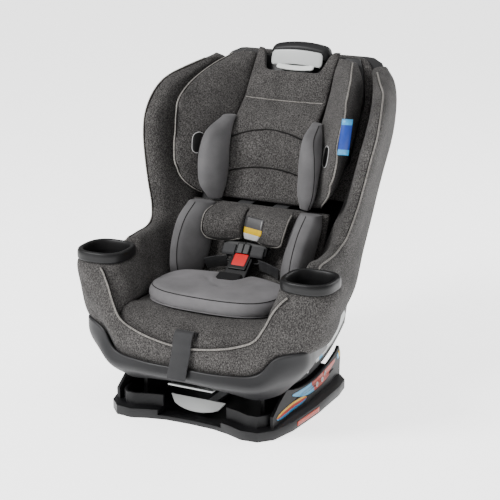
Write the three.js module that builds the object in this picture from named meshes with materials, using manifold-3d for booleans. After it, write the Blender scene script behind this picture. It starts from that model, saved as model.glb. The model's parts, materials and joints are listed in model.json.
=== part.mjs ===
// Convertible car seat on a reclining base, in millimetres.
// +X is the child's left, -Y is the front, +Z is up. The origin is at the middle of the base's
// underside, so the seat stands on the plane z = 0.
import * as THREE from 'three';
import { mergeVertices } from 'three/addons/utils/BufferGeometryUtils.js';
import Module from 'manifold-3d';

const wasm = await Module();
wasm.setup();

// ---------------------------------------------------------------- driving dimensions
const SHELL_HALF = 154;          // half width of the seat shell, outside, at the seat
const HEIGHT = 638;              // floor to the top of the headrest at its lowest position
const GAP = 0.5;                 // clearance between neighbouring pieces
const SHELL_WALL = 4;            // moulded wall of the shell
const ROCKER_RADIUS = 311;       // outside radius of the shell's rocker
const ROCKER_FOOT = 58;          // height of the rocker's lowest point
const BACK_SLOPE = 0.5635;       // backwards per unit upwards, of the headrest's slide
const COVER = 12;                // padded fabric cover on the seat
const BACK_COVER = 10;           // padded fabric cover on the back
const CUP_HALF = 50.5;           // half width of a cup holder's rim
const CUP_WALL = 3;
const CUP_RIM = 20;              // height of the cup holder's rim
const CUP_DEPTH = 66;            // cup below the rim
const CUP_OFFSET = 56;           // cup centre outside the shell
const CUP_Y = -86;
const ARM_TOP = 276;             // top of the padded arm under the cup's rim
const BASE_FLOOR = 4;
const BASE_WALL = 5;
const BASE_RIM = 40;             // height of the base's front wall
const BASE_SKIRT = 18;           // height of the wide skirt round the base
const BASE_STEP = 22;            // the base's upper part stands this far inside the skirt
const CRADLE_GAP = 3;            // between the shell's side and the base's cradle wall
const CRADLE_WALL = 6;
const CRADLE_DROP = 8;           // the cradle wall's top edge is this far below the rocker's face
const RAIL_WALL = 8;             // ribs of the base that the rocker rolls on
const STRAP = { width: 38, thick: 1.6 };
const BUCKLE_HALF = 23;
const RECLINE_HANDLE = { half: 57, drop: 26, thick: 6, lean: 1.02 };
const SECTOR = { depth: 7, half: 8, notches: 6, pitch: 12, notch: 5 };
const PANEL_WALL = 5;            // leg rest extension panel
const EXTENSION_RAIL = { width: 12, height: 6 };
const GUIDE_WALL = 6;
const PAD_RADIUS = 13;           // rubber foot pads
const PAD_HEIGHT = 2.4;
const HEAD_SHELL = 7;            // headrest's moulded back
const HEAD_SKIN = 13;            // padded fabric over the headrest's foam
const HANDLE_HALF = 55;          // headrest handle
const FRAME_BAR = 8;             // steel frame behind the shell

// Centre that the rocker turns about.
const PIVOT = { y: 35, z: ROCKER_FOOT + ROCKER_RADIUS };

// The drawn shape is for these values; other sizes stretch it.
const DRAWN = { half: 154, height: 638, armTop: 300 };

const BLACK = { color: 0x2a2a2b, roughness: 0.5, metalness: 0 };
const PANEL_GREY = { color: 0x333436, roughness: 0.55, metalness: 0 };
const HEATHER = { color: 0x77736f, roughness: 0.95, metalness: 0 };
const SMOOTH_GREY = { color: 0x77787a, roughness: 0.9, metalness: 0 };
const SILVER = { color: 0xc9cbca, roughness: 0.4, metalness: 0 };
const RED = { color: 0xe8363c, roughness: 0.45, metalness: 0 };
const FOAM = { color: 0xe6e4de, roughness: 0.95, metalness: 0 };
const STEEL = { color: 0x9a9da0, roughness: 0.35, metalness: 1 };
const RUBBER = { color: 0x1c1c1d, roughness: 0.9, metalness: 0 };
const WEBBING = { color: 0x222224, roughness: 0.9, metalness: 0 };

// ---------------------------------------------------------------- placing
// Widens the drawn shape to SHELL_HALF: what is inside the shell stretches, what is outside shifts.
function wide(x) {
  const size = Math.abs(x);
  const inside = size * SHELL_HALF / DRAWN.half;
  const outside = size + SHELL_HALF - DRAWN.half;
  return Math.sign(x) * (size <= DRAWN.half ? inside : outside);
}

// Raises the drawn shape to HEIGHT: above the arms it stretches along the sloping back.
function raise(y, z) {
  const above = Math.max(0, z - DRAWN.armTop);
  const extra = above * (HEIGHT - DRAWN.height) / (DRAWN.height - DRAWN.armTop);
  return [y + extra * BACK_SLOPE, z + extra];
}

const at = ([x, y, z]) => [wide(x), ...raise(y, z)];
const outline = (points) => points.map(([y, z]) => raise(y, z));

// Distance backwards of the headrest's rear face at height z of the drawn shape.
const headrestBack = (z) => 330 + (z - 610) * BACK_SLOPE;

// ---------------------------------------------------------------- shapes
function solid(geometry) {
  const bare = geometry.clone();
  bare.deleteAttribute('normal');
  bare.deleteAttribute('uv');
  const merged = mergeVertices(bare, 1e-4);
  const vertProperties = new Float32Array(merged.attributes.position.array);
  const triVerts = new Uint32Array(merged.index.array);
  return new wasm.Manifold(new wasm.Mesh({ numProp: 3, vertProperties, triVerts }));
}

function surface(manifold) {
  const mesh = manifold.getMesh();
  const geometry = new THREE.BufferGeometry();
  geometry.setAttribute('position', new THREE.BufferAttribute(new Float32Array(mesh.vertProperties), 3));
  geometry.setIndex(new THREE.BufferAttribute(new Uint32Array(mesh.triVerts), 1));
  return geometry;
}

const joined = (...parts) => surface(parts.map(solid).reduce((a, b) => a.add(b)));
const cut = (body, ...tools) => surface(tools.map(solid).reduce((a, b) => a.subtract(b), solid(body)));
const common = (a, b) => surface(solid(a).intersect(solid(b)));

function shapeOf(points) {
  return new THREE.Shape(points.map(([a, b]) => new THREE.Vector2(a, b)));
}

// Outline in the side plane, points (y, z), from x0 to x1.
function plate(points, x0, x1) {
  const geometry = new THREE.ExtrudeGeometry(shapeOf(points), { depth: x1 - x0, bevelEnabled: false });
  const axes = new THREE.Matrix4().set(0, 0, 1, x0, 1, 0, 0, 0, 0, 1, 0, 0, 0, 0, 0, 1);
  return geometry.applyMatrix4(axes);
}

// Outline in the plan, points (x, y), from z0 to z1.
function slab(points, z0, z1) {
  const geometry = new THREE.ExtrudeGeometry(shapeOf(points), { depth: z1 - z0, bevelEnabled: false });
  return geometry.translate(0, 0, z0);
}

function block(x0, x1, y0, y1, z0, z1) {
  const geometry = new THREE.BoxGeometry(x1 - x0, y1 - y0, z1 - z0);
  return geometry.translate((x0 + x1) / 2, (y0 + y1) / 2, (z0 + z1) / 2);
}

// Round bar along Y, from the origin.
function rod(radius, length) {
  const geometry = new THREE.CylinderGeometry(radius, radius, length, 10);
  return geometry.translate(0, length / 2, 0);
}

function mirrored(geometry) {
  const copy = geometry.index ? geometry.toNonIndexed() : geometry.clone();
  copy.scale(-1, 1, 1);
  const position = copy.attributes.position;
  for (let i = 0; i < position.count; i += 3) {
    const a = new THREE.Vector3().fromBufferAttribute(position, i + 1);
    const b = new THREE.Vector3().fromBufferAttribute(position, i + 2);
    position.setXYZ(i + 1, b.x, b.y, b.z);
    position.setXYZ(i + 2, a.x, a.y, a.z);
  }
  return copy;
}

// Triangles that close a loop of points, made on the plane that the loop faces most.
function cap(loop) {
  const normal = new THREE.Vector3();
  loop.forEach(([x, y, z], i) => {
    const [u, v, w] = loop[(i + 1) % loop.length];
    normal.add(new THREE.Vector3((y - v) * (z + w), (z - w) * (x + u), (x - u) * (y + v)));
  });
  const sizes = [Math.abs(normal.x), Math.abs(normal.y), Math.abs(normal.z)];
  const axis = sizes.indexOf(Math.max(...sizes));
  const keep = [[1, 2], [2, 0], [0, 1]][axis];
  const flat = loop.map((p) => new THREE.Vector2(p[keep[0]], p[keep[1]]));
  const clockwise = THREE.ShapeUtils.isClockWise(flat);
  const faces = THREE.ShapeUtils.triangulateShape(clockwise ? flat.slice().reverse() : flat, []);
  const last = loop.length - 1;
  return faces.map((face) => (clockwise ? face.map((i) => last - i).reverse() : face));
}

// Closed body through loops of points, with the same number of points in each loop.
function loft(loops) {
  const sides = loops[0].length;
  const index = [];
  for (let row = 0; row < loops.length - 1; row += 1) {
    for (let side = 0; side < sides; side += 1) {
      const a = row * sides + side;
      const b = row * sides + (side + 1) % sides;
      index.push(a, b, b + sides, a, b + sides, a + sides);
    }
  }
  const first = cap(loops[0]);
  const end = cap(loops[loops.length - 1]);
  const offset = (loops.length - 1) * sides;
  first.forEach(([a, b, c]) => index.push(a, c, b));
  end.forEach(([a, b, c]) => index.push(a + offset, b + offset, c + offset));
  const geometry = new THREE.BufferGeometry();
  const position = new Float32Array(loops.flat(2));
  geometry.setAttribute('position', new THREE.BufferAttribute(position, 3));
  geometry.setIndex(index);
  return signedVolume(geometry) < 0 ? turned(geometry) : geometry;
}

function signedVolume(geometry) {
  const position = geometry.attributes.position;
  const corner = (i) => new THREE.Vector3().fromBufferAttribute(position, geometry.index.getX(i));
  let volume = 0;
  for (let i = 0; i < geometry.index.count; i += 3) {
    volume += corner(i).dot(corner(i + 1).cross(corner(i + 2))) / 6;
  }
  return volume;
}

function turned(geometry) {
  const index = geometry.index.array;
  for (let i = 0; i < index.length; i += 3) {
    [index[i + 1], index[i + 2]] = [index[i + 2], index[i + 1]];
  }
  return geometry;
}

// Smooth rows between the drawn ones, each track of points on one curve.
function smooth(loops, count) {
  const tracks = loops[0].map((_, side) => new THREE.CatmullRomCurve3(
    loops.map((loop) => new THREE.Vector3(...loop[side])), false, 'centripetal'));
  return Array.from({ length: count + 1 }, (_, row) => (
    tracks.map((track) => track.getPoint(row / count).toArray())));
}

// Moves an open line in the side plane sideways; positive is to the left of its direction.
function offset(line, distance) {
  return line.map(([y, z], i) => {
    const before = line[Math.max(0, i - 1)];
    const after = line[Math.min(line.length - 1, i + 1)];
    const length = Math.hypot(after[0] - before[0], after[1] - before[1]);
    const ny = -(after[1] - before[1]) / length;
    const nz = (after[0] - before[0]) / length;
    return [y + ny * distance, z + nz * distance];
  });
}

const band = (line, near, far) => [...offset(line, near), ...offset(line, far).reverse()];

// Moves a closed outline outwards, for an outline that runs anticlockwise.
function grown(loop, distance) {
  return loop.map(([y, z], i) => {
    const before = loop[(i + loop.length - 1) % loop.length];
    const after = loop[(i + 1) % loop.length];
    const length = Math.hypot(after[0] - before[0], after[1] - before[1]);
    return [y + (after[1] - before[1]) / length * distance, z - (after[0] - before[0]) / length * distance];
  });
}

// Webbing: a flat section carried along a route of [x, y, z] points. "across" is its width direction.
function webbing(route, across, width = STRAP.width, thick = STRAP.thick, steps = 14) {
  const curve = new THREE.CatmullRomCurve3(route.map((p) => new THREE.Vector3(...p)), false, 'centripetal');
  const side = new THREE.Vector3(...across).normalize();
  const loops = [];
  for (let i = 0; i <= steps; i += 1) {
    const middle = curve.getPoint(i / steps);
    const along = curve.getTangent(i / steps);
    const flatSide = side.clone().addScaledVector(along, -side.dot(along)).normalize();
    const up = along.clone().cross(flatSide).normalize();
    loops.push([[1, 1], [-1, 1], [-1, -1], [1, -1]].map(([a, b]) => middle.clone()
      .addScaledVector(flatSide, a * width / 2).addScaledVector(up, b * thick / 2).toArray()));
  }
  return loft(loops);
}

// Squared circle, points (x, y).
function squircle(cx, cy, halfX, halfY, count = 24, power = 0.62) {
  return Array.from({ length: count }, (_, i) => {
    const turn = (i + 0.5) / count * 2 * Math.PI;
    const c = Math.cos(turn);
    const s = Math.sin(turn);
    const x = cx + halfX * Math.sign(c) * Math.abs(c) ** power;
    return [x, cy + halfY * Math.sign(s) * Math.abs(s) ** power];
  });
}

const level = (points, z) => points.map(([x, y]) => [x, y, z]);

// Arc in the side plane about the rocker's centre, from y0 to y1 along the bottom.
function rockerArc(radius, y0, y1, steps = 16) {
  const a0 = Math.asin((y0 - PIVOT.y) / radius);
  const a1 = Math.asin((y1 - PIVOT.y) / radius);
  return Array.from({ length: steps + 1 }, (_, i) => {
    const a = a0 + (a1 - a0) * i / steps;
    return [PIVOT.y + radius * Math.sin(a), PIVOT.z - radius * Math.cos(a)];
  });
}

// Half width of the shell at height z: it flares from the seat to the shoulders.
const FLARE = [
  [0, 154], [262, 154], [300, 160], [352, 168], [400, 175], [450, 181], [500, 184], [660, 186],
].map(([z, x]) => [raise(0, z)[1], wide(x)]);
function flare(z) {
  const i = Math.max(1, FLARE.findIndex(([height]) => height >= z));
  const [z0, x0] = FLARE[i - 1];
  const [z1, x1] = FLARE[i];
  return x0 + (x1 - x0) * Math.min(1, (z - z0) / (z1 - z0));
}

// Widens a plain piece to the shell's width at each height.
function flared(geometry) {
  const position = geometry.attributes.position;
  for (let i = 0; i < position.count; i += 1) {
    position.setX(i, position.getX(i) * flare(position.getZ(i)) / DRAWN.half);
  }
  return geometry;
}

// ---------------------------------------------------------------- the assembly
const seat = new THREE.Group();
seat.name = 'convertible_car_seat';

function add(name, geometry, look) {
  const mesh = new THREE.Mesh(geometry, new THREE.MeshStandardMaterial(look));
  mesh.name = name;
  seat.add(mesh);
}

function addPair(name, geometry, look) {
  add(`${name}_left`, geometry, look);
  add(`${name}_right`, mirrored(geometry), look);
}

// ---------------------------------------------------------------- base
const cradleIn = SHELL_HALF + CRADLE_GAP;
const cradleOut = cradleIn + CRADLE_WALL;

// Half of the base's outline on the floor, from the middle of the front to the middle of the back.
const footprintHalf = [
  [0, -150], [50, -152], [84, -160], [114, -171], [146, -168], [168, -145], [182, -92],
  [190, 0], [190, 100], [184, 140], [162, 164], [130, 170], [0, 170],
];

// The whole outline, moved inwards by inset.
function footprint(inset) {
  const left = footprintHalf.map(([x, y]) => [wide(x), y]);
  const right = left.slice(1, -1).reverse().map(([x, y]) => [-x, y]);
  return grown([...left, ...right], -inset);
}

// Rubber pads let into the underside, flush with it.
const padPlaces = [
  ['front_left', 118, -140], ['front_right', -118, -140], ['rear_left', 148, 136], ['rear_right', -148, 136],
];
const footPad = (x, y, radius, height) => slab(squircle(wide(x), y, radius, radius, 16, 1), 0, height);

function baseShell() {
  const tray = joined(
    slab(footprint(0), 0, BASE_SKIRT),
    slab(footprint(BASE_STEP), BASE_SKIRT - 1, BASE_RIM),
  );
  const hollow = slab(footprint(BASE_STEP + BASE_WALL), BASE_FLOOR, BASE_RIM + 1);
  const cradle = plate([
    [-138, 1], [162, 1], [166, 60], [158, 78], ...rockerArc(ROCKER_RADIUS + CRADLE_DROP, -80, 148).reverse(),
    [-110, 58], [-138, BASE_RIM],
  ], cradleIn, cradleOut);
  const railMiddle = SHELL_HALF * 0.8;
  const rail = plate(
    [[-100, 1], [120, 1], ...rockerArc(ROCKER_RADIUS + GAP, -100, 120).reverse()],
    railMiddle - RAIL_WALL / 2, railMiddle + RAIL_WALL / 2,
  );
  const handleRecess = plate(
    [[-175, 8], [-118, 8], [-96, 16], [-96, 60], [-175, 60]],
    -RECLINE_HANDLE.half - 9, RECLINE_HANDLE.half + 9,
  );
  const body = joined(cut(tray, hollow), cradle, mirrored(cradle), rail, mirrored(rail));
  const pockets = padPlaces.map(([, x, y]) => footPad(x, y, PAD_RADIUS + GAP, PAD_HEIGHT + GAP));
  return cut(body, handleRecess, ...pockets);
}
add('base_shell', baseShell(), BLACK);
padPlaces.forEach(([corner, x, y]) => {
  add(`foot_pad_${corner}`, footPad(x, y, PAD_RADIUS, PAD_HEIGHT), RUBBER);
});

// Steel bracket on the base's floor that the latch bar slides in, and the spring beside the bar.
const latchZ = BASE_FLOOR + GAP;
add('latch_bracket', cut(
  block(-34, 34, 5, 65, latchZ, latchZ + 24),
  block(-30, 30, 0, 70, latchZ + 3, latchZ + 30),
), STEEL);
add('recline_spring', rod(5, 50).translate(22, 8, latchZ + 10), STEEL);

// ---------------------------------------------------------------- recline handle and its latch bar
function reclineHandle() {
  const { half, drop, thick, lean } = RECLINE_HANDLE;
  const lowerEdge = Array.from({ length: 11 }, (_, i) => {
    const x = half * (i / 5 - 1);
    return [x, -drop * Math.sqrt(1 - (x / half) ** 2)];
  });
  const face = new THREE.ExtrudeGeometry(shapeOf(lowerEdge), { depth: thick, bevelEnabled: false });
  return face.rotateX(lean).translate(0, -114, BASE_RIM - 2);
}
add('recline_handle', reclineHandle(), SILVER);

// The bar's tooth stands just below the sector.
const rockerBottom = PIVOT.z - ROCKER_RADIUS - GAP;
const barZ = latchZ + 4;
const barThick = 6;
const toothTop = rockerBottom - SECTOR.depth - 3;
add('latch_bar', joined(
  block(-9, 9, -111, 60, barZ, barZ + barThick),
  block(-9, 9, -111, -106, barZ, barZ + 21),
  block(-6, 6, 42, 50, barZ, toothTop),
), STEEL);

// ---------------------------------------------------------------- shell
// Line of the shell's inside, from the front lip along the seat and up the back, points (y, z).
const shellLine = outline([
  [-150, 118], [-147, 138], [-130, 158], [-100, 168], [45, 170], [80, 186], [104, 225], [136, 290],
  [178, 330], [199.5, 352], [347.3, 614],
]);
// Line of the padded surface that the child sits on and leans against.
const seatLine = outline([
  [-176, 122], [-171, 152], [-156, 182], [-130, 198], [-100, 203], [0, 200], [42, 203],
  [64, 218], [92, 252], [113, 292], [132, 338],
]);

// Outline of the shell's side wall, anticlockwise from the front of the rocker.
const sideWall = [
  ...rockerArc(ROCKER_RADIUS, -125, 206), [217, 141], [225, 174], [233, 219],
  ...outline([
    [246, 263], [266, 309], [284, 352], [304, 400], [326, 435], [338, 465], [344, 492], [346, 531],
    [343, 563], [330, 594], [300, 592], [246, 566], [196, 541], [162, 505], [145, 468], [136, 430],
    [128, 383], [118, 340], [100, 308],
  ]),
  [78, 286], [40, 278], [-36, 270], [-118, 262], [-134, 190], [-141, 150],
];

// Slot up the back that the headrest's carriage slides in.
const slotLine = outline([[206, 363], [338, 597]]);
const carriageSlot = () => plate(band(slotLine, -30, 30), -10, 10);

function seatShell() {
  const back = flared(plate(band(shellLine, -SHELL_WALL, 0), -DRAWN.half, DRAWN.half));
  const wall = flared(plate(sideWall, DRAWN.half - SHELL_WALL, DRAWN.half));
  const belly = flared(plate([
    ...rockerArc(ROCKER_RADIUS, -125, 206), ...rockerArc(ROCKER_RADIUS - SHELL_WALL, -122, 203).reverse(),
  ], -DRAWN.half, DRAWN.half));
  const frontWindow = block(-cradleOut, cradleOut, -90, -20, 100, 146);
  const rearWindow = block(-cradleOut, cradleOut, 60, 150, 108, 150);
  return cut(joined(back, wall, mirrored(wall), belly), frontWindow, rearWindow, carriageSlot());
}
add('seat_shell', seatShell(), BLACK);

// Notched steel sector under the rocker, that the latch drops into.
function reclineSector() {
  const near = ROCKER_RADIUS + GAP;
  const far = near + SECTOR.depth;
  const notches = Array.from({ length: SECTOR.notches }, (_, i) => {
    const y = 20 + i * SECTOR.pitch;
    return block(-SECTOR.half - 1, SECTOR.half + 1, y, y + SECTOR.notch, 0, PIVOT.z - near - 2);
  });
  const section = [...rockerArc(far, 0, 96), ...rockerArc(near, 0, 96).reverse()];
  return cut(plate(section, -SECTOR.half, SECTOR.half), ...notches);
}
add('recline_sector', reclineSector(), STEEL);

// Foam under the seat cover, between the shell and the cover.
const insideHalf = DRAWN.half - SHELL_WALL - 11;
const coverHalf = wide(insideHalf);
const foamTop = offset(seatLine, -(COVER + GAP)).slice(3);
const foamBottom = offset(shellLine, GAP).slice(3, 9);
add('seat_foam', plate([...foamBottom, ...foamTop.reverse()], -coverHalf, coverHalf), FOAM);

// The cover's front corners are rounded in the plan; the strap's slot goes through its front.
const coverPlan = [
  [coverHalf, 220], [-coverHalf, 220], [-coverHalf, -156], [-coverHalf + 26, -168], [-coverHalf + 70, -175],
  [0, -177], [coverHalf - 70, -175], [coverHalf - 26, -168], [coverHalf, -156],
];
const slotHalf = STRAP.width / 2 + 3.4;
const coverSlot = block(-slotHalf - 1, slotHalf + 1, -165, -148, 150, 190);
const seatPad = plate(band(seatLine, -COVER, 0), -coverHalf, coverHalf);
add('seat_cover', cut(common(seatPad, slab(coverPlan, 0, HEIGHT)), coverSlot), HEATHER);

const backLine = outline([[190.4, 358], [334.5, 614]]);
const backPad = flared(plate(band(backLine, -BACK_COVER, 0), -insideHalf - 2, insideHalf + 2));
add('back_cover', cut(backPad, carriageSlot()), HEATHER);

// ---------------------------------------------------------------- side covers and arms
// Rows of the wing, each [rim, bulge of the outer face, rear edge, inner corner, inner rim].
const wingRows = [
  [[172, 283, 603], [182, 304, 605], [184, 322, 600], [166, 316, 596], [166, 290, 597]],
  [[209, 224, 586], [206, 290, 584], [189, 343, 568], [170, 306, 566], [192, 232, 579]],
  [[236, 167, 559], [224, 262, 553], [190, 349, 533], [170, 286, 531], [216, 172, 553]],
  [[244, 127, 510], [226, 240, 506], [190, 348, 493], [171, 266, 494], [222, 131, 509]],
  [[239, 110, 469], [222, 226, 464], [188, 338, 454], [168, 243, 454], [217, 115, 470]],
  [[232, 102, 429], [217, 208, 420], [185, 308, 402], [163, 213, 402], [210, 107, 430]],
  [[222, 95, 381], [211, 190, 372], [180, 289, 354], [156, 184, 356], [201, 101, 383]],
  [[209, 86, 334], [203, 176, 320], [176, 270, 304], [149, 140, 312], [190, 94, 338]],
  [[203, 68, 308], [202, 158, 285], [170, 244, 244], [143, 104, 262], [184, 76, 314]],
  [[201, 49, 301], [208, 120, 240], [162, 214, 172], [142, 66, 218], [182, 56, 305]],
  [[201, 8, 299], [226, 10, 232], [196, 34, 152], [142, 8, 208], [182, 8, 300]],
  [[198, -34, 298], [246, -34, 232], [224, -34, 166], [142, -34, 206], [180, -34, 298]],
];
const podRows = [
  [
    [142, -35, 206], [160, -35, 262], [172, -35, 276],
    [240, -35, 276], [250, -35, 225], [224, -35, 166],
  ],
  [
    [142, -86, 206], [157, -86, 262], [162, -86, 276],
    [259, -86, 276], [255, -86, 225], [239, -86, 172],
  ],
  [
    [143, -120, 202], [160, -120, 262], [166, -120, 276],
    [254, -120, 276], [250, -120, 225], [236, -120, 180],
  ],
  [
    [146, -138, 192], [166, -138, 245], [180, -138, 272],
    [238, -138, 272], [238, -138, 225], [220, -138, 186],
  ],
  [
    [147, -152, 172], [158, -152, 205], [175, -152, 234],
    [210, -152, 236], [216, -152, 212], [203, -152, 186],
  ],
  [
    [144, -164, 150], [152, -164, 172], [160, -164, 186],
    [172, -164, 191], [180, -164, 190], [168, -164, 178],
  ],
];
const placedRows = (rows) => rows.map((row) => row.map(at));

// Slot that the shell's side wall fills inside the fabric.
function wallSlot() {
  return flared(plate(grown(sideWall, 3), DRAWN.half - SHELL_WALL - 2 * GAP, DRAWN.half + 2 * GAP));
}
const shellBack = () => flared(plate(
  [[-100, 0], [420, 0], ...outline([[420, 614]]), ...offset(shellLine.slice(3), GAP).reverse()],
  -DRAWN.half - 1, DRAWN.half + 1,
));

addPair('wing_cover', cut(loft(smooth(placedRows(wingRows), 22)), wallSlot(), shellBack()), HEATHER);

function armCover() {
  const well = loft([
    level(squircle(SHELL_HALF + CUP_OFFSET, CUP_Y, CUP_HALF - 18, CUP_HALF - 18), ARM_TOP - CUP_DEPTH - 2),
    level(squircle(SHELL_HALF + CUP_OFFSET, CUP_Y, CUP_HALF - 8, CUP_HALF - 8), ARM_TOP + 4),
  ]);
  return cut(loft(smooth(placedRows(podRows), 12)), well, wallSlot());
}
addPair('arm_cover', armCover(), HEATHER);

function cupHolder() {
  const cx = SHELL_HALF + CUP_OFFSET;
  const ring = (inset, z) => level(squircle(cx, CUP_Y, CUP_HALF - inset, CUP_HALF - inset), z);
  const rimFoot = ARM_TOP + 1;
  const rimTop = rimFoot + CUP_RIM;
  const outside = joined(
    loft([ring(2, rimFoot), ring(0, rimFoot + 4), ring(0, rimTop - 3), ring(2, rimTop)]),
    loft([ring(20, ARM_TOP - CUP_DEPTH), ring(10, rimFoot + 1)]),
  );
  const inside = loft([ring(20 + CUP_WALL, ARM_TOP - CUP_DEPTH + CUP_WALL), ring(8, rimTop + 1)]);
  return cut(outside, inside);
}
addPair('cup_holder', cupHolder(), BLACK);

// ---------------------------------------------------------------- cushions inside the seat
// The buckle leans back over the cushion. Its profile is in the side plane, points (y, z).
const buckleProfile = [[2, 216], [10, 208], [70, 250], [62, 264]];

function insertCushion() {
  const rows = [[205.5, 0.93], [209, 0.985], [217, 1], [226, 0.975], [233, 0.86], [237, 0.6]];
  const halfX = wide(134);
  const loops = rows.map(([z, size]) => level(squircle(0, -34, halfX * size, 80 * size, 28, 0.78), z));
  const buckleSpace = plate(grown(buckleProfile, 3 * GAP), -BUCKLE_HALF - 4 * GAP, BUCKLE_HALF + 4 * GAP);
  const strapSpace = block(-STRAP.width / 2 - 3, STRAP.width / 2 + 3, 6, 20, 190, 225);
  return cut(loft(loops), buckleSpace, strapSpace);
}
add('insert_cushion', insertCushion(), SMOOTH_GREY);

const torsoRows = [
  [[86, 56, 222], [90, 42, 220], [116, 24, 217], [136, 26, 217], [136, 56, 222]],
  [[82, 78, 252], [88, 48, 248], [118, 18, 246], [136, 22, 246], [136, 80, 254]],
  [[82, 98, 288], [90, 64, 286], [120, 26, 286], [137, 32, 286], [137, 100, 290]],
  [[86, 118, 322], [94, 90, 326], [120, 56, 326], [138, 62, 326], [138, 120, 322]],
  [[92, 130, 344], [98, 112, 346], [118, 94, 350], [134, 98, 350], [134, 132, 344]],
];
addPair('torso_pad', loft(smooth(placedRows(torsoRows), 12)), SMOOTH_GREY);

// ---------------------------------------------------------------- harness
addPair('harness_strap', webbing([
  [24, 72, 262], [34, 83, 275], [38, 91, 286], [42, 102, 302], [40, 118, 328],
  [38, 131, 341], [38, 152, 344], [38, 182, 344.5],
].map(at), [1, 0, 0], STRAP.width - 8), WEBBING);
addPair('lap_strap', webbing([
  [34, 66, 250], [56, 62, 247], [78, 60, 240],
], [0, -0.4, 1], STRAP.width - 12, STRAP.thick, 6), WEBBING);
addPair('shoulder_cover', loft(smooth([
  [[14, 86, 290], [80, 62, 292], [82, 71, 296], [14, 94, 292]],
  [[14, 84, 306], [86, 58, 310], [87, 70, 314], [14, 98, 306]],
  [[14, 96, 334], [88, 76, 336], [88, 90, 338], [14, 110, 334]],
  [[16, 116, 344], [82, 106, 346], [82, 118, 347], [16, 124, 345]],
], 8)), HEATHER);

// Chest clip: two halves that meet in the middle, in front of the straps.
const clipRows = (x0, x1) => loft([
  [[x0, 71, 263], [x0, 64, 268], [x0, 80, 289], [x0, 87.5, 284]],
  [[x1, 71, 263], [x1, 65, 267], [x1, 79, 286], [x1, 86, 282]],
]);
addPair('chest_clip', clipRows(0.4, 47), BLACK);

const buttonProfile = [[38, 249], [41.5, 244.5], [66, 262.5], [62.5, 267]];
const buttonWell = [[38, 249], [43.3, 242.1], [67.8, 260.1], [62.5, 267]];
const tongueSlot = [[56, 244], [80, 262], [78, 265], [54, 247]];
add('buckle_housing', cut(
  plate(buckleProfile, -BUCKLE_HALF, BUCKLE_HALF),
  plate(grown(buttonWell, GAP + 0.3), -BUCKLE_HALF + 6, BUCKLE_HALF - 6),
  plate(tongueSlot, -14, 14),
), BLACK);
add('buckle_button', plate(buttonProfile, -BUCKLE_HALF + 7, BUCKLE_HALF - 7), RED);
addPair('buckle_tongue', plate([[73.5, 255], [76, 252], [90, 262], [87.5, 265]], GAP, 16), STEEL);
add('crotch_strap', block(-STRAP.width / 2, STRAP.width / 2, 12, 14, 203.5, 208), WEBBING);

// Adjuster: the strap's slot in the seat's front lip, and the strap that hangs from it.
add('adjuster_housing', cut(
  block(-slotHalf, slotHalf, -164.4, -148.6, 160, 184),
  block(-slotHalf + 3, slotHalf - 3, -170, -152, 164, 190),
), BLACK);
add('adjuster_strap', webbing([
  [0, -156, 182], [0, -162, 186.5], [0, -170, 183], [0, -177, 168], [0, -181, 150], [0, -189, 134],
  [0, -196, 120], [0, -201, 106],
], [1, 0, 0]), WEBBING);

// ---------------------------------------------------------------- headrest
// Point (y, z) of the headrest at height z, "forward" of its rear face.
const headPoint = (z, forward) => [headrestBack(z) - forward, z];

function headrestShell() {
  const bottom = 348;
  const top = 612;
  const back = plate(outline([
    headPoint(bottom, 0), headPoint(top, 0), headPoint(top, HEAD_SHELL), headPoint(bottom, HEAD_SHELL),
  ]), -SHELL_HALF, SHELL_HALF);
  const hump = plate(outline([
    [320, 604], [329, 610], [333, 617.5], [338, 627], [334, 637], [322, 636], [314, 628], [312, 612],
  ]), -HANDLE_HALF - 5, HANDLE_HALF + 5);
  // Outline seen from the front, points (x, z), carried through from front to back.
  const front = [
    [-108, 340], [108, 340], [150, 430], [153, 540], [138, 590], [70, 700],
    [-70, 700], [-138, 590], [-153, 540], [-150, 430],
  ].map(([x, z]) => [wide(x), raise(0, z)[1]]);
  const through = new THREE.ExtrudeGeometry(shapeOf(front), { depth: HEIGHT, bevelEnabled: false });
  return common(joined(back, hump), through.rotateX(Math.PI / 2).translate(0, HEIGHT, 0));
}
add('headrest_shell', headrestShell(), BLACK);
const handleProfile = outline([[295, 596], [300, 595], [307.5, 621], [302.5, 624]]);
add('headrest_handle', plate(handleProfile, -HANDLE_HALF, HANDLE_HALF), SILVER);

// The headrest's middle: foam, and the padded panel over it with a bowl for the handle.
const panelHalf = wide(88);
const panelBack = (z) => headPoint(z, HEAD_SHELL + 3 * GAP);
const panelFront = [
  [152, 352], [165, 380], [174, 413], [178, 450], [191, 485], [214, 508], [242, 534], [277, 580], [312, 625],
];
const behindPanel = (depth) => panelFront.slice(0, 7).map(([y, z]) => [y + depth, z]);
const foamProfile = outline([...behindPanel(HEAD_SKIN + 2 * GAP), panelBack(546), panelBack(356)].reverse());
const foamSpace = outline([...behindPanel(HEAD_SKIN), [255, 549], [400, 549], [400, 352]].reverse());
const handleBowl = outline([[250, 586], [360, 586], [400, 680], [250, 680]]);
add('headrest_foam', plate(foamProfile, -panelHalf + 4, panelHalf - 4), FOAM);
add('headrest_panel', cut(
  plate(outline([...panelFront, panelBack(622), panelBack(350)].reverse()), -panelHalf, panelHalf),
  plate(foamSpace, -panelHalf + 3, panelHalf - 3),
  plate(handleBowl, -HANDLE_HALF - 9, HANDLE_HALF + 9),
), HEATHER);

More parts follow.
